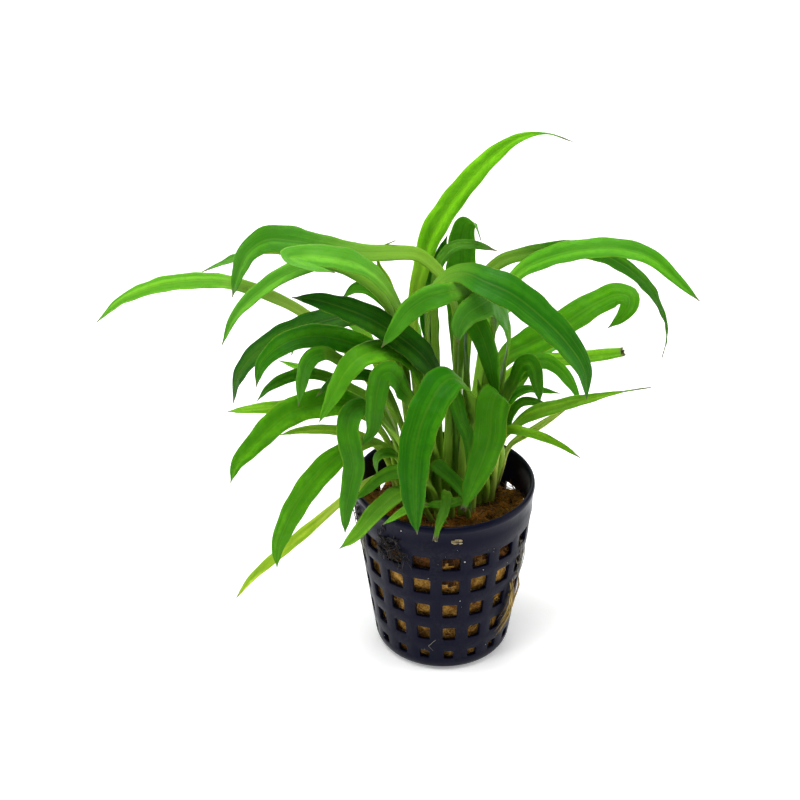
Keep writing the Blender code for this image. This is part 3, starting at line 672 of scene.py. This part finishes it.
# Each tuft: its finish, how many roots, the turns and heights between which they start and end, how
# far they sag and wander, how far they stand out from the wall, and how thick they are.
ROOT_TUFTS = (
    ("roots_dark_left", dark_root, 30, ((-139, -128), (42, 50)), ((-130, -118), (37, 46)),
     0.1, 0.8, (0.1, 0.9), (0.08, 0.2)),
    ("roots_grey_left", grey_root, 12, ((-166, -158), (44, 50)), ((-160, -150), (32, 41)),
     0.1, 0.4, (0.1, 0.6), (0.08, 0.18)),
    ("roots_dark_rim", dark_root, 18, ((-170, -158), (46, 52)), ((-160, -148), (43, 50)),
     0.2, 0.7, (0.1, 0.8), (0.08, 0.2)),
    ("roots_tan_right", tan_root, 26, ((-34, -25), (22, 30)), ((-46, -31), (9, 15)),
     0.9, 0.3, (0.2, 1.0), (0.1, 0.26)),
    ("roots_grey_right", grey_root, 9, ((-30, -22), (34, 44)), ((-32, -22), (26, 33)),
     0.3, 0.5, (0.1, 0.8), (0.08, 0.16)),
)
for tuft, root_finish, root_count, starts, ends, sag, wander, out, thick in ROOT_TUFTS:
    root_lines = root_tuft(root_count, ROOT_POINTS, starts, ends, sag, wander, out)
    root_thick = draw.uniform(*thick, root_count)
    root_shades = draw.uniform(0, 1, root_count)
    add_piece(tuft, strands_mesh(root_lines, root_thick, root_shades), root_finish, "rockwool")

# The hair is bent once: the places on the wall that it runs through.
HAIR_PLACES = ((-96.4, 12.4), (-102.3, 9.6), (-97.8, 7.6))
HAIR_RADIUS = 0.06
HAIR_STANDS = 0.08
HAIR_SHADE = 0.7
hair_turns, hair_highs = zip(*HAIR_PLACES)
hair_line = [on_wall(np.interp(at, (0, 1, 2), hair_turns), np.interp(at, (0, 1, 2), hair_highs), HAIR_STANDS)
             for at in np.linspace(0.0, 2.0, 13)]
hair = strands_mesh(np.array([hair_line]), np.array([HAIR_RADIUS]), [HAIR_SHADE])
add_piece("root_hair_front", hair, grey_root, "rockwool")

# Crumbs: one tan flake sits on the pot's band, and small pale grains are stuck to its wall. Each
# crumb is a small ball, broken by noise and pressed flat against the wall.
CRUMB_BROKEN = 0.45
CRUMB_NOISE = 1.7
CRUMB_LIFT = 0.3
GRAIN_THICK = 0.12
STRAY_THICK = 0.07

# The flake: which way round and how high it sits, how far its bits spread each way, and between which
# sizes half their width, height and thickness are.
FLAKE_PLACE = (-82.8, 50.1)
FLAKE_BITS = 11
FLAKE_AROUND, FLAKE_UP = 3.4, 0.7
BIT_SIZES = ((0.3, 1.0), (0.2, 0.5), (0.12, 0.3))

# The grains that can be told apart: which way round, how high, and half their size.
GRAINS = ((-118.5, 51.9, 0.2), (-77.3, 42.5, 0.24), (-79.0, 27.7, 0.14), (-101, 36.5, 0.1), (-64, 38.2, 0.1))
STRAY_GRAINS = 46
STRAY_HEIGHTS = (3, 53)
STRAY_SIZES = (0.03, 0.08)


def add_crumb(shape, turn, high, half_wide, half_high, thick):
    """A broken flake that lies on the wall."""
    outwards = Vector((math.cos(math.radians(turn)), math.sin(math.radians(turn)), 0.0))
    beside = Vector((-outwards.y, outwards.x, 0.0))
    middle = Vector(on_wall(turn, high, thick * CRUMB_LIFT))
    made = bmesh.ops.create_icosphere(shape, subdivisions=2, radius=1.0)["verts"]
    for corner in made:
        broken = 1.0 + CRUMB_BROKEN * noise.noise(corner.co * CRUMB_NOISE + Vector((turn, high, 0)))
        place = corner.co * broken
        corner.co = (middle + beside * place.x * half_wide + outwards * place.y * thick
                     + Vector((0, 0, place.z * half_high))) * MM


def crumbs_mesh(rows):
    shape = bmesh.new()
    for row in rows:
        add_crumb(shape, *row)
    return smoothed(shape, bpy.data.meshes.new("crumbs"))


flake_finish = finish_material(
    "bark flake", stain,
    {"Clean": (0.42, 0.34, 0.17), "Stained": (0.12, 0.08, 0.03), "Scale": 900.0, "Balance": 0.5}, bump=0.0002)
grain_finish = finish_material(
    "pale grain", stain,
    {"Clean": (0.75, 0.75, 0.72), "Stained": (0.4, 0.4, 0.36), "Scale": 900.0, "Balance": 0.4}, bump=0.0001)
flake_rows = []
for _ in range(FLAKE_BITS):
    bit_turn = FLAKE_PLACE[0] + draw.uniform(-FLAKE_AROUND, FLAKE_AROUND)
    bit_high = FLAKE_PLACE[1] + draw.uniform(-FLAKE_UP, FLAKE_UP)
    flake_rows.append((bit_turn, bit_high, *[draw.uniform(*sizes) for sizes in BIT_SIZES]))
add_piece("bark_flake", crumbs_mesh(flake_rows), flake_finish, "rockwool")
grain_rows = [(turn, high, half, half, GRAIN_THICK) for turn, high, half in GRAINS]
for _ in range(STRAY_GRAINS):
    grain_size = draw.uniform(*STRAY_SIZES)
    grain_rows.append((draw.uniform(-180, 180), draw.uniform(*STRAY_HEIGHTS), grain_size, grain_size,
                       STRAY_THICK))
add_piece("pale_grains", crumbs_mesh(grain_rows), grain_finish, "rockwool")

# Leaves: each is one blade on its stalk, grown from the crown in the rockwool. The stalk is
# yellow-green and channelled, and the blade is a thin sheet with a midrib and a waved margin.
LEAF_STATIONS = 116
LEAF_ACROSS = 15
CLOSER_AT_TIP = 1.2
CLOSER_AT_MARGIN = 0.92
CROWN_REACH = 20.0

# The stalk: how deep it stands in the plug, half its width, its thickness and its channel. It widens
# into the blade from one share of the leaf's length on.
STALK_SUNK = 3.0
STALK_HALF = 1.35
STALK_OF_BLADE = 0.62
STALK_THICK = 0.8
STALK_ROUND = 0.75
STALK_BELLY = 1.1
CHANNEL_DEPTH, CHANNEL_WIDTH = 0.2, 0.4
WING_START = 0.12
WING_POWER = 2.4

# The blade: half its thickness, its least half width, how its midrib stands out below and sinks in
# above, and how it narrows to the tip. It opens at one share of its full width and is flat by another.
# The midrib thins out over the last part of the leaf, and a torn tip has a ragged edge.
HALF_SHEET = 0.13
LEAST_HALF = 0.18
OPENS_AT = 0.85
FLAT_AT = 0.75
RIB_HALF, RIB_BELOW, RIB_ABOVE, RIB_REACH = 0.5, 0.34, 0.07, 0.6
TIP_LENGTH, TIP_SHARE = 3.0, 0.35
CURL_POWER = 2.5
TORN_EDGE = (-1.0, 0.8)

# The margin's waves, each with its length and share, and the quilting between the veins. Both fade
# out before the tip.
MARGIN_WAVES = ((6.3, 0.26), (10.4, 0.4), (17.0, 0.34))
OTHER_MARGIN = 1.07
WAVE_POWER = 2.2
WIDTH_WAVE_LENGTH, WIDTH_WAVE = 8.7, 0.03
QUILT_LENGTH, QUILT_DEPTH, QUILT_SLANT = 4.6, 0.09, 2.5
USUAL_WAVES = 0.3
WAVES_FADE, QUILT_FADES = 12.0, 9.0


def leaf_rings(node):
    """The rings of a leaf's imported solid, each as left edge, upper middle, right edge, lower middle."""
    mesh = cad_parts[node].data
    places = np.array([corner.co[:] for corner in mesh.vertices]) / MM
    _, firsts, same = np.unique(np.round(places, 3), axis=0, return_index=True, return_inverse=True)
    same = same.reshape(-1)
    corners = places[firsts]
    beside = [set() for _ in corners]
    for edge in mesh.edges:
        first, second = same[edge.vertices[0]], same[edge.vertices[1]]
        if first != second:
            beside[first].add(second)
            beside[second].add(first)
    inside = np.nonzero(np.hypot(corners[:, 0], corners[:, 1]) < CROWN_REACH)[0]
    level = {number: 0 for number in inside[np.argsort(corners[inside, 2])[:4]]}
    reached = list(level)
    rings = []
    while reached:
        rings.append(corners[sorted(reached)])
        following = {other for number in reached for other in beside[number] if other not in level}
        level.update({number: len(rings) for number in following})
        reached = list(following)
    for number, ring in enumerate(rings):
        if len(ring) != 4:
            raise ValueError(f"{node}: ring {number} has {len(ring)} corners")
    rings = np.array(rings)
    middles = rings.mean(axis=1)
    heading = np.gradient(middles, axis=0)
    for number, ring in enumerate(rings):
        ahead = heading[number]
        middle = middles[number]
        offsets = ring - middle
        first = offsets[0] - ahead * (offsets[0] @ ahead) / (ahead @ ahead)
        second = np.cross(ahead, first)
        second *= np.linalg.norm(first) / np.linalg.norm(second)
        ring = ring[np.argsort(np.arctan2(offsets @ second, offsets @ first))]
        if number:
            before = unit_rows(rings[number - 1] - middles[number - 1])
            turned = [np.roll(ring, shift, axis=0) for shift in range(4)]
            ring = min(turned, key=lambda tried: np.sum((unit_rows(tried - middle) - before) ** 2))
        rings[number] = ring
    across = np.linalg.norm(rings[:, 0] - rings[:, 2], axis=1)
    over = np.linalg.norm(rings[:, 1] - rings[:, 3], axis=1)
    if over.max() > across.max():
        rings = np.roll(rings, -1, axis=1)
        across = over
    widest = rings[across.argmax()]
    edges_middle = (widest[0] + widest[2]) / 2
    if np.linalg.norm(widest[3] - edges_middle) < np.linalg.norm(widest[1] - edges_middle):
        rings = np.roll(rings, 2, axis=1)
    return rings


def unit_rows(rows):
    return rows / np.maximum(np.linalg.norm(rows, axis=-1, keepdims=True), NO_LENGTH)


def smooth_through(knots, values, at):
    """A smooth curve through values at the knots, read at other places."""
    slopes = np.gradient(values, knots, axis=0)
    span = np.clip(np.searchsorted(knots, at, side="right") - 1, 0, len(knots) - 2)
    width = (knots[span + 1] - knots[span])
    share = (at - knots[span]) / width
    if values.ndim > 1:
        share = share[:, None]
        width = width[:, None]
    start, end = values[span], values[span + 1]
    rise, fall = slopes[span] * width, slopes[span + 1] * width
    return (start * (1 + 2 * share) * (1 - share) ** 2 + rise * share * (1 - share) ** 2
            + end * share ** 2 * (3 - 2 * share) - fall * share ** 2 * (1 - share))


def eased(value, low, high):
    """From 0 at the low end to 1 at the high end, level at both."""
    share = np.clip((value - low) / (high - low), 0.0, 1.0)
    return share * share * (3 - 2 * share)


def build_leaf(node, look):
    """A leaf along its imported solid: a round channelled stalk that widens into a thin waved blade."""
    rings = leaf_rings(node)
    middles = (rings[:, 1] + rings[:, 3]) / 2
    knots = np.concatenate([[0.0], np.cumsum(np.linalg.norm(np.diff(middles, axis=0), axis=1))])
    length = knots[-1]
    place = length * (1.0 - (1.0 - np.linspace(0.0, 1.0, LEAF_STATIONS)) ** CLOSER_AT_TIP)
    centre = smooth_through(knots, middles, place)
    along = unit_rows(np.gradient(centre, axis=0))
    side = smooth_through(knots, unit_rows(rings[:, 2] - rings[:, 0]), place)
    side = unit_rows(side - along * np.sum(side * along, axis=1, keepdims=True))
    up = np.cross(along, side)
    upper = smooth_through(knots, unit_rows(rings[:, 1] - rings[:, 3]), place)
    up *= np.sign(np.sum(up * upper, axis=1).sum())
    ring_halves = np.linalg.norm(rings[:, 2] - rings[:, 0], axis=1) / 2
    half = np.maximum(smooth_through(knots, ring_halves, place), LEAST_HALF)

    widest = half.argmax()
    stalk_half = min(STALK_HALF, STALK_OF_BLADE * half[widest])
    open_at = np.nonzero(half[:widest + 1] < OPENS_AT * half[widest])[0][-1]
    wing = np.clip((place - WING_START * length) / (place[open_at] - WING_START * length), 0.0, 1.0)
    winged = stalk_half + (half[open_at] - stalk_half) * wing ** WING_POWER
    half[:open_at] = np.maximum(half[:open_at], winged[:open_at])
    half[:open_at] -= np.clip(half[:open_at] - winged[:open_at], 0.0, None) * (1.0 - wing[:open_at])
    opening = (half - stalk_half) / (FLAT_AT * (half[widest] - stalk_half))
    blade = np.maximum.accumulate(np.clip(opening, 0.0, 1.0))
    to_tip = length - place
    if look["torn"]:
        half = np.maximum(half, look["torn"])
    else:
        narrowed = half * (TIP_SHARE + (1.0 - TIP_SHARE) * to_tip / TIP_LENGTH)
        half = np.where(to_tip < TIP_LENGTH, narrowed, half)

    phases = draw.uniform(0, 2 * math.pi, 8)
    waves = look["waves"] * blade * eased(to_tip, 0.0, WAVES_FADE)
    half = half * (1.0 + WIDTH_WAVE * blade * np.sin(2 * math.pi * place / WIDTH_WAVE_LENGTH + phases[0]))

    across = (np.sin(np.linspace(-1.0, 1.0, LEAF_ACROSS) * math.pi / 2 * CLOSER_AT_MARGIN)
              / math.sin(math.pi / 2 * CLOSER_AT_MARGIN))
    spread = across[None, :] * half[:, None]
    reach = np.abs(across)[None, :]
    camber = half[:, None] * (look["fold"] * reach - look["curl"] * reach ** CURL_POWER) * blade[:, None]
    left = across[None, :] < 0
    for wave, (wavelength, wave_share) in enumerate(MARGIN_WAVES):
        turn = 2 * math.pi * place[:, None] / wavelength
        lift = np.where(left, np.sin(turn + phases[1 + wave]), np.sin(OTHER_MARGIN * turn + phases[4 + wave]))
        camber += wave_share * (waves[:, None] * lift * reach ** WAVE_POWER)
    quilt = np.sin(2 * math.pi * place[:, None] / QUILT_LENGTH + QUILT_SLANT * reach
                   + np.where(left, phases[7], phases[0]))
    quilted = (blade * eased(to_tip, 0.0, QUILT_FADES))[:, None]
    camber += QUILT_DEPTH * look["waves"] / USUAL_WAVES * quilt * 4.0 * reach * (1.0 - reach) * quilted
    rib = np.exp(-(spread / RIB_HALF) ** 2) * eased(to_tip, 0.0, RIB_REACH * length)[:, None]
    rim = np.sqrt(np.clip(1.0 - reach ** 8, 0.0, 1.0))
    round_stalk = np.sqrt(np.clip(1.0 - reach ** 2, 0.0, 1.0))
    channel = np.exp(-(across / CHANNEL_WIDTH) ** 2)[None, :]
    stalk_thick = np.minimum(STALK_THICK, half * STALK_ROUND)[:, None]
    of_blade = blade[:, None]
    top = ((1 - of_blade) * (round_stalk * stalk_thick - CHANNEL_DEPTH * channel)
           + of_blade * (HALF_SHEET * rim - RIB_ABOVE * rib))
    bottom = ((1 - of_blade) * round_stalk * stalk_thick * STALK_BELLY
              + of_blade * (HALF_SHEET * rim + RIB_BELOW * rib))
    flat = centre[:, None, :] + side[:, None, :] * spread[:, :, None]
    upper_points = flat + up[:, None, :] * (camber + top)[:, :, None]
    lower_points = flat + up[:, None, :] * (camber - bottom)[:, :, None]
    if look["torn"]:
        torn = draw.uniform(*TORN_EDGE, LEAF_ACROSS)
        for station, share in ((-1, 1.0), (-2, 0.5)):
            upper_points[station] += along[station] * torn[:, None] * share
            lower_points[station] += along[station] * torn[:, None] * share

    loop = np.concatenate([upper_points, lower_points[:, -2:0:-1]], axis=1)
    root = loop[:1] - along[0] * STALK_SUNK
    loop = np.concatenate([root, loop], axis=0)
    stations, around, _ = loop.shape
    ends = [tuple(range(around)), tuple(reversed(range((stations - 1) * around, stations * around)))]
    mesh = closed_mesh((loop.reshape(-1, 3) * MM).tolist(), ends + band_faces(stations, around))

    across_uv = np.concatenate([(across + 1) / 2, ((across + 1) / 2)[-2:0:-1]])
    along_uv = np.concatenate([[0.0], place / length])
    blade_uv = np.concatenate([[0.0], blade])
    tip_uv = np.concatenate([[0.0], 1.0 - eased(to_tip, 0.0, look["dry"])])
    corner_of = np.empty(len(mesh.loops), dtype=int)
    mesh.loops.foreach_get("vertex_index", corner_of)
    station_of, point_of = np.divmod(corner_of, around)
    for name, values in (("leaf", np.stack([across_uv[point_of], along_uv[station_of]], axis=1)),
                         ("growth", np.stack([blade_uv[station_of], tip_uv[station_of]], axis=1))):
        mesh.uv_layers.new(name=name).data.foreach_set("uv", values.ravel())
    return mesh


# Leaf skin: stalk green runs into blade green, which has deeper and brighter bands, fine veins,
# puckers across them, a paler midrib with painted shade in the grooves beside it, a thin dull margin and a
# dried tip.
skin, skin_in, skin_out = new_group(
    "leaf skin", ("Blade", "Deep", "Stalk", "Rib", "Bright", "Margin", "Tip"), ("Mottle", "Seed"))


def leaf_values(layer):
    """The two values that a layer of the leaf's mesh carries."""
    carried = tree_node(skin, "ShaderNodeUVMap", uv_map=layer)
    parts = tree_node(skin, "ShaderNodeSeparateXYZ", {0: carried.outputs[0]})
    return parts.outputs[0], parts.outputs[1]


leaf_across, leaf_along = leaf_values("leaf")
on_blade, on_tip = leaf_values("growth")
from_rib = reckon(skin, "ABSOLUTE", reckon(skin, "SUBTRACT", leaf_across, 0.5))


def leaf_noise(wide, long, detail):
    """Noise that is so many times as fine across the leaf and along it."""
    stretched = tree_node(skin, "ShaderNodeCombineXYZ", {
        0: reckon(skin, "MULTIPLY", leaf_across, wide), 1: reckon(skin, "MULTIPLY", leaf_along, long),
        2: skin_in["Seed"]})
    return noise_over(skin, stretched.outputs[0], 1.0, detail)


broad = leaf_noise(2.2, 9.0, 2.0)
bands = leaf_noise(3.4, 1.8, 1.0)
veins = leaf_noise(34.0, 5.0, 2.0)
puckers = leaf_noise(7.0, 70.0, 2.0)
PUCKER_RELIEF = 0.7
DEEP_EDGES = (0.35, 0.68)
deep_share = reckon(skin, "MULTIPLY", ramped(skin, broad, *DEEP_EDGES), skin_in["Mottle"])
lamina = mixed(skin, deep_share, skin_in["Blade"], skin_in["Deep"])

# What lies over the blade's green, in order: what it follows, from where to where, how strong it
# gets, and its colour.
BLADE_LAYERS = (
    (bands, 0.62, 0.38, 0.6, "Deep"),
    (bands, 0.5, 0.74, 0.5, "Bright"),
    (veins, 0.5, 0.75, 0.3, "Rib"),
    (puckers, 0.45, 0.75, 0.35, "Deep"),
    # Painted shade: the blade is darkened in the grooves beside the midrib.
    (from_rib, 0.12, 0.04, 0.3, "Deep"),
    (from_rib, 0.045, 0.01, 0.25, "Rib"),
    (from_rib, 0.46, 0.49, 0.7, "Margin"),
)
for followed, begins, full, strength, layer_colour in BLADE_LAYERS:
    lamina = mixed(skin, ramped(skin, followed, begins, full, 0.0, strength), lamina, skin_in[layer_colour])

# The stalk is streaked and gets yellower towards its foot. For each, and for how rough the skin is:
# from where to where, and the values there.
STALK_STREAKS = (0.4, 0.7, 0.0, 0.5)
STALK_YELLOWS = (0.2, 0.0, 0.0, 0.35)
STALK_FOOT = (0.36, 0.5, 0.08)
SKIN_ROUGH = (0.3, 0.7, 0.34, 0.5)
stalk_lit = mixed(skin, ramped(skin, veins, *STALK_STREAKS), skin_in["Stalk"], skin_in["Rib"])
stalk_low = mixed(skin, ramped(skin, leaf_along, *STALK_YELLOWS), stalk_lit, STALK_FOOT)
grown = mixed(skin, on_blade, stalk_low, lamina)
skin.links.new(mixed(skin, on_tip, grown, skin_in["Tip"]), skin_out["Colour"])
skin.links.new(ramped(skin, broad, *SKIN_ROUGH), skin_out["Roughness"])
skin_relief = reckon(skin, "ADD", veins, reckon(skin, "MULTIPLY", puckers, PUCKER_RELIEF))
skin.links.new(skin_relief, skin_out["Height"])

# What sets a leaf apart: blade green, stalk green, how waved and folded it is, and how far its tip
# has dried, in millimetres.
GREEN = (0.055, 0.235, 0.006)
PALE_GREEN = (0.13, 0.36, 0.02)
LIME = (0.2, 0.43, 0.022)
YELLOW_GREEN = (0.33, 0.5, 0.035)
DARK_GREEN = (0.022, 0.135, 0.004)
# The forest green is darker than a leaf's own green: it is partly painted shade.
FOREST_AND_SHADE = (0.013, 0.085, 0.003)
STRAW = (0.62, 0.66, 0.17)
STALK = (0.25, 0.45, 0.04)
PALE_STALK = (0.4, 0.55, 0.09)
LEAF_LOOKS = {
    "far_left": (PALE_GREEN, PALE_STALK, 0.25, 0.2, 3.0),
    "left_long": ((0.09, 0.29, 0.02), STALK, 0.2, 0.24, 2.0),
    "left_folded": ((0.12, 0.36, 0.03), STALK, 0.3, 0.2, 2.0),
    "left_high": ((0.06, 0.235, 0.01), STALK, 0.3, 0.24, 4.0),
    "left_wavy": ((0.09, 0.27, 0.03), STALK, 0.6, 0.2, 5.0),
    "upright_yellow": (YELLOW_GREEN, PALE_STALK, 0.15, 0.25, 5.0),
    "small_arch": (GREEN, STALK, 0.25, 0.2, 2.0),
    # centre_dark's green is darkened by painted shade, for its shaded side.
    "centre_dark": (FOREST_AND_SHADE, (0.1, 0.25, 0.02), 0.25, 0.2, 3.0),
    "left_dark": (FOREST_AND_SHADE, (0.1, 0.2, 0.02), 0.35, 0.2, 3.0),
    "left_broad": ((0.035, 0.19, 0.005), STALK, 0.25, 0.22, 3.0),
    "left_hanging": (GREEN, STALK, 0.2, 0.22, 2.0),
    "left_slim": (GREEN, STALK, 0.25, 0.22, 2.0),
    "left_pale_low": (PALE_GREEN, PALE_STALK, 0.2, 0.25, 2.0),
    "left_pale": (LIME, PALE_STALK, 0.2, 0.2, 2.0),
    "left_ruffled": ((0.07, 0.26, 0.005), STALK, 0.7, 0.16, 2.0),
    "left_narrow": ((0.26, 0.42, 0.03), PALE_STALK, 0.2, 0.25, 2.0),
    "left_droop": ((0.09, 0.31, 0.006), STALK, 0.5, 0.18, 2.0),
    "left_yellow": ((0.4, 0.55, 0.03), PALE_STALK, 0.2, 0.2, 3.0),
    "front_hook": ((0.055, 0.23, 0.008), STALK, 0.3, 0.2, 2.0),
    "front_left_inner": (GREEN, STALK, 0.3, 0.2, 2.0),
    "front_left_light": ((0.1, 0.33, 0.01), STALK, 0.3, 0.18, 2.0),
    "left_small_dark": (DARK_GREEN, STALK, 0.2, 0.22, 3.0),
    "rim_left": ((0.12, 0.3, 0.015), STALK, 0.2, 0.24, 2.0),
    "rim_left_upper": ((0.09, 0.28, 0.012), STALK, 0.3, 0.24, 2.0),
    "rim_left_narrow": (PALE_GREEN, STALK, 0.2, 0.24, 2.0),
    "left_loop": ((0.1, 0.27, 0.015), STALK, 0.1, 0.2, 1.0),
    # front_big's green is darkened by painted shade: it hangs upright, away from the light above.
    "front_big": ((0.025, 0.17, 0.003), STALK, 0.35, 0.16, 2.0),
    "front_right": ((0.055, 0.225, 0.005), STALK, 0.3, 0.16, 2.0),
    "rim_front": ((0.07, 0.2, 0.01), STALK, 0.2, 0.22, 2.0),
    "front_cross": ((0.08, 0.26, 0.01), STALK, 0.15, 0.2, 2.0),
    "front_slant": ((0.05, 0.2, 0.008), STALK, 0.2, 0.2, 3.0),
    "tall": ((0.15, 0.42, 0.01), YELLOW_GREEN, 0.3, 0.2, 9.0),
    "top_bent": ((0.09, 0.32, 0.012), (0.24, 0.46, 0.03), 0.2, 0.2, 2.0),
    "top_thin": ((0.08, 0.25, 0.02), STALK, 0.2, 0.22, 5.0),
    "top_twist": (DARK_GREEN, STALK, 0.2, 0.25, 3.0),
    # big_dark's green is darkened by painted shade, for its shaded side.
    "big_dark": ((0.024, 0.155, 0.006), STALK, 0.25, 0.26, 2.0),
    "centre_light": ((0.065, 0.26, 0.012), STALK, 0.3, 0.16, 3.0),
    "centre_fold": ((0.08, 0.28, 0.02), STALK, 0.25, 0.14, 3.0),
    "centre_hanging": ((0.05, 0.23, 0.004), STALK, 0.25, 0.18, 2.0),
    "right_long": ((0.08, 0.3, 0.012), (0.22, 0.5, 0.02), 0.25, 0.24, 4.0),
    "right_twist": ((0.035, 0.16, 0.004), STALK, 0.5, 0.22, 7.0),
    "right_folded": ((0.075, 0.27, 0.005), STALK, 0.3, 0.2, 2.0),
    "right_cut": ((0.16, 0.38, 0.015), (0.3, 0.5, 0.04), 0.2, 0.22, 1.5),
    "right_hanging": ((0.05, 0.21, 0.006), STALK, 0.2, 0.2, 2.0),
    "right_inner": ((0.06, 0.24, 0.006), STALK, 0.2, 0.2, 2.0),
    "right_small": (GREEN, STALK, 0.2, 0.22, 3.0),
    "right_short": ((0.08, 0.25, 0.01), STALK, 0.2, 0.22, 4.0),
    "right_level": ((0.15, 0.33, 0.015), PALE_STALK, 0.25, 0.2, 10.0),
    "right_low": ((0.13, 0.31, 0.006), STALK, 0.2, 0.24, 3.0),
    "right_dry": (STRAW, STRAW, 0.1, 0.2, 4.0),
    "centre_yellow": ((0.22, 0.42, 0.03), PALE_STALK, 0.1, 0.22, 2.0),
    "centre_slant": (GREEN, STALK, 0.25, 0.2, 2.0),
    "back_left": (GREEN, STALK, 0.3, 0.2, 2.0),
    "back_middle_left": ((0.04, 0.2, 0.006), STALK, 0.3, 0.2, 3.0),
    "back_middle": ((0.09, 0.28, 0.015), STALK, 0.3, 0.2, 2.0),
    "back_middle_right": (GREEN, STALK, 0.3, 0.2, 3.0),
    "back_right": (GREEN, STALK, 0.3, 0.2, 2.0),
}

# Half the width, in millimetres, at which a tip has torn off.
TORN_TIPS = {"right_cut": 1.4, "front_right": 0.9, "rim_front": 0.8}

# What the leaves share: how far a blade curls, its mottling, and the brown of a dried tip.
LEAF_CURL = 0.12
LEAF_MOTTLE = 0.7
DRIED_TIP = (0.14, 0.12, 0.07)
SEED_STEP = 3.7

# A leaf's deep, bright, rib and margin greens are worked out from its blade green.
for number, (leaf, (blade_green, stalk_green, waved, folded, dried)) in enumerate(LEAF_LOOKS.items()):
    red, green, blue = blade_green
    leaf_finish = finish_material(
        "leaf " + leaf.replace("_", " "), skin,
        {"Blade": blade_green, "Deep": (0.45 * red, 0.6 * green, 0.4 * blue), "Stalk": stalk_green,
         "Bright": (1.25 * red + 0.02, 1.2 * green + 0.02, blue),
         "Rib": (0.7 * red + 0.08, 0.75 * green + 0.1, 0.6 * blue + 0.012),
         "Margin": (0.35 * red + 0.03, 0.4 * green + 0.005, 0.3 * blue + 0.006),
         "Tip": DRIED_TIP, "Mottle": LEAF_MOTTLE, "Seed": SEED_STEP * number},
        bump=0.00012, Subsurface_Weight=0.4, Subsurface_Radius=(0.7, 1.0, 0.15), Subsurface_Scale=0.001,
        Specular_IOR_Level=0.05)
    look = {"waves": waved, "fold": folded, "curl": LEAF_CURL, "dry": dried, "torn": TORN_TIPS.get(leaf, 0)}
    node = "leaf_" + leaf
    add_piece(node + "_blade", build_leaf(node, look), leaf_finish, node, node)

# Setting: a pale studio floor, soft light from above, both sides and behind, and the camera where
# the photograph was taken from.
CAMERA_PLACE = (-0.0128, -0.5170, 0.3858)
CAMERA_TILT = 59.5
CAMERA_LENS = 94.95
CAMERA_FILM = 36.0
FLOOR_REACH = 6.0
FLOOR_GLOW = 0.25
AIR_GLOW = 0.25

floor_mesh = bpy.data.meshes.new("studio_floor")
floor_mesh.from_pydata([(-FLOOR_REACH, -FLOOR_REACH, 0), (FLOOR_REACH, -FLOOR_REACH, 0),
                        (FLOOR_REACH, FLOOR_REACH, 0), (-FLOOR_REACH, FLOOR_REACH, 0)], [], [(0, 1, 2, 3)])
floor_paint = bpy.data.materials.new("studio white")
floor_paint.use_nodes = True
floor_shader = floor_paint.node_tree.nodes["Principled BSDF"]
for socket, value in (("Base Color", (0.95, 0.95, 0.95, 1.0)), ("Roughness", 0.9),
                      ("Specular IOR Level", 0.1), ("Emission Color", (1.0, 1.0, 1.0, 1.0)),
                      ("Emission Strength", FLOOR_GLOW)):
    floor_shader.inputs[socket].default_value = value
floor_mesh.materials.append(floor_paint)
studio_floor = placed("studio_floor", floor_mesh)


def add_softbox(name, place, aim, width, height, watts):
    light = bpy.data.lights.new(name, "AREA")
    light.shape = "RECTANGLE"
    light.size = width
    light.size_y = height
    light.energy = watts
    softbox = placed(name, light)
    softbox.location = place
    softbox.rotation_euler = (Vector(aim) - Vector(place)).to_track_quat("-Z", "Y").to_euler()


add_softbox("softbox_above", (-0.12, -0.05, 0.95), (0, 0, 0.06), width=0.6, height=0.6, watts=12.0)
add_softbox("softbox_left", (-0.85, 0.05, 0.4), (0, 0, 0.07), width=0.4, height=0.6, watts=3.0)
add_softbox("softbox_right", (0.85, 0.05, 0.35), (0, 0, 0.07), width=0.4, height=0.6, watts=3.0)
add_softbox("softbox_behind", (0.1, 0.9, 0.45), (0, 0, 0.09), width=0.8, height=0.5, watts=3.5)

world = bpy.data.worlds.new("studio air")
world.use_nodes = True
air = world.node_tree.nodes["Background"].inputs
air["Color"].default_value = (1.0, 1.0, 1.0, 1.0)
air["Strength"].default_value = AIR_GLOW
bpy.context.scene.world = world

camera_data = bpy.data.cameras.new("camera")
camera_data.lens = CAMERA_LENS
camera_data.sensor_width = CAMERA_FILM
camera_data.clip_start = 0.01
camera = placed("camera", camera_data)
camera.location = CAMERA_PLACE
camera.rotation_euler = (math.radians(CAMERA_TILT), 0, 0)
bpy.context.scene.camera = camera
bpy.context.scene.view_settings.view_transform = "Standard"
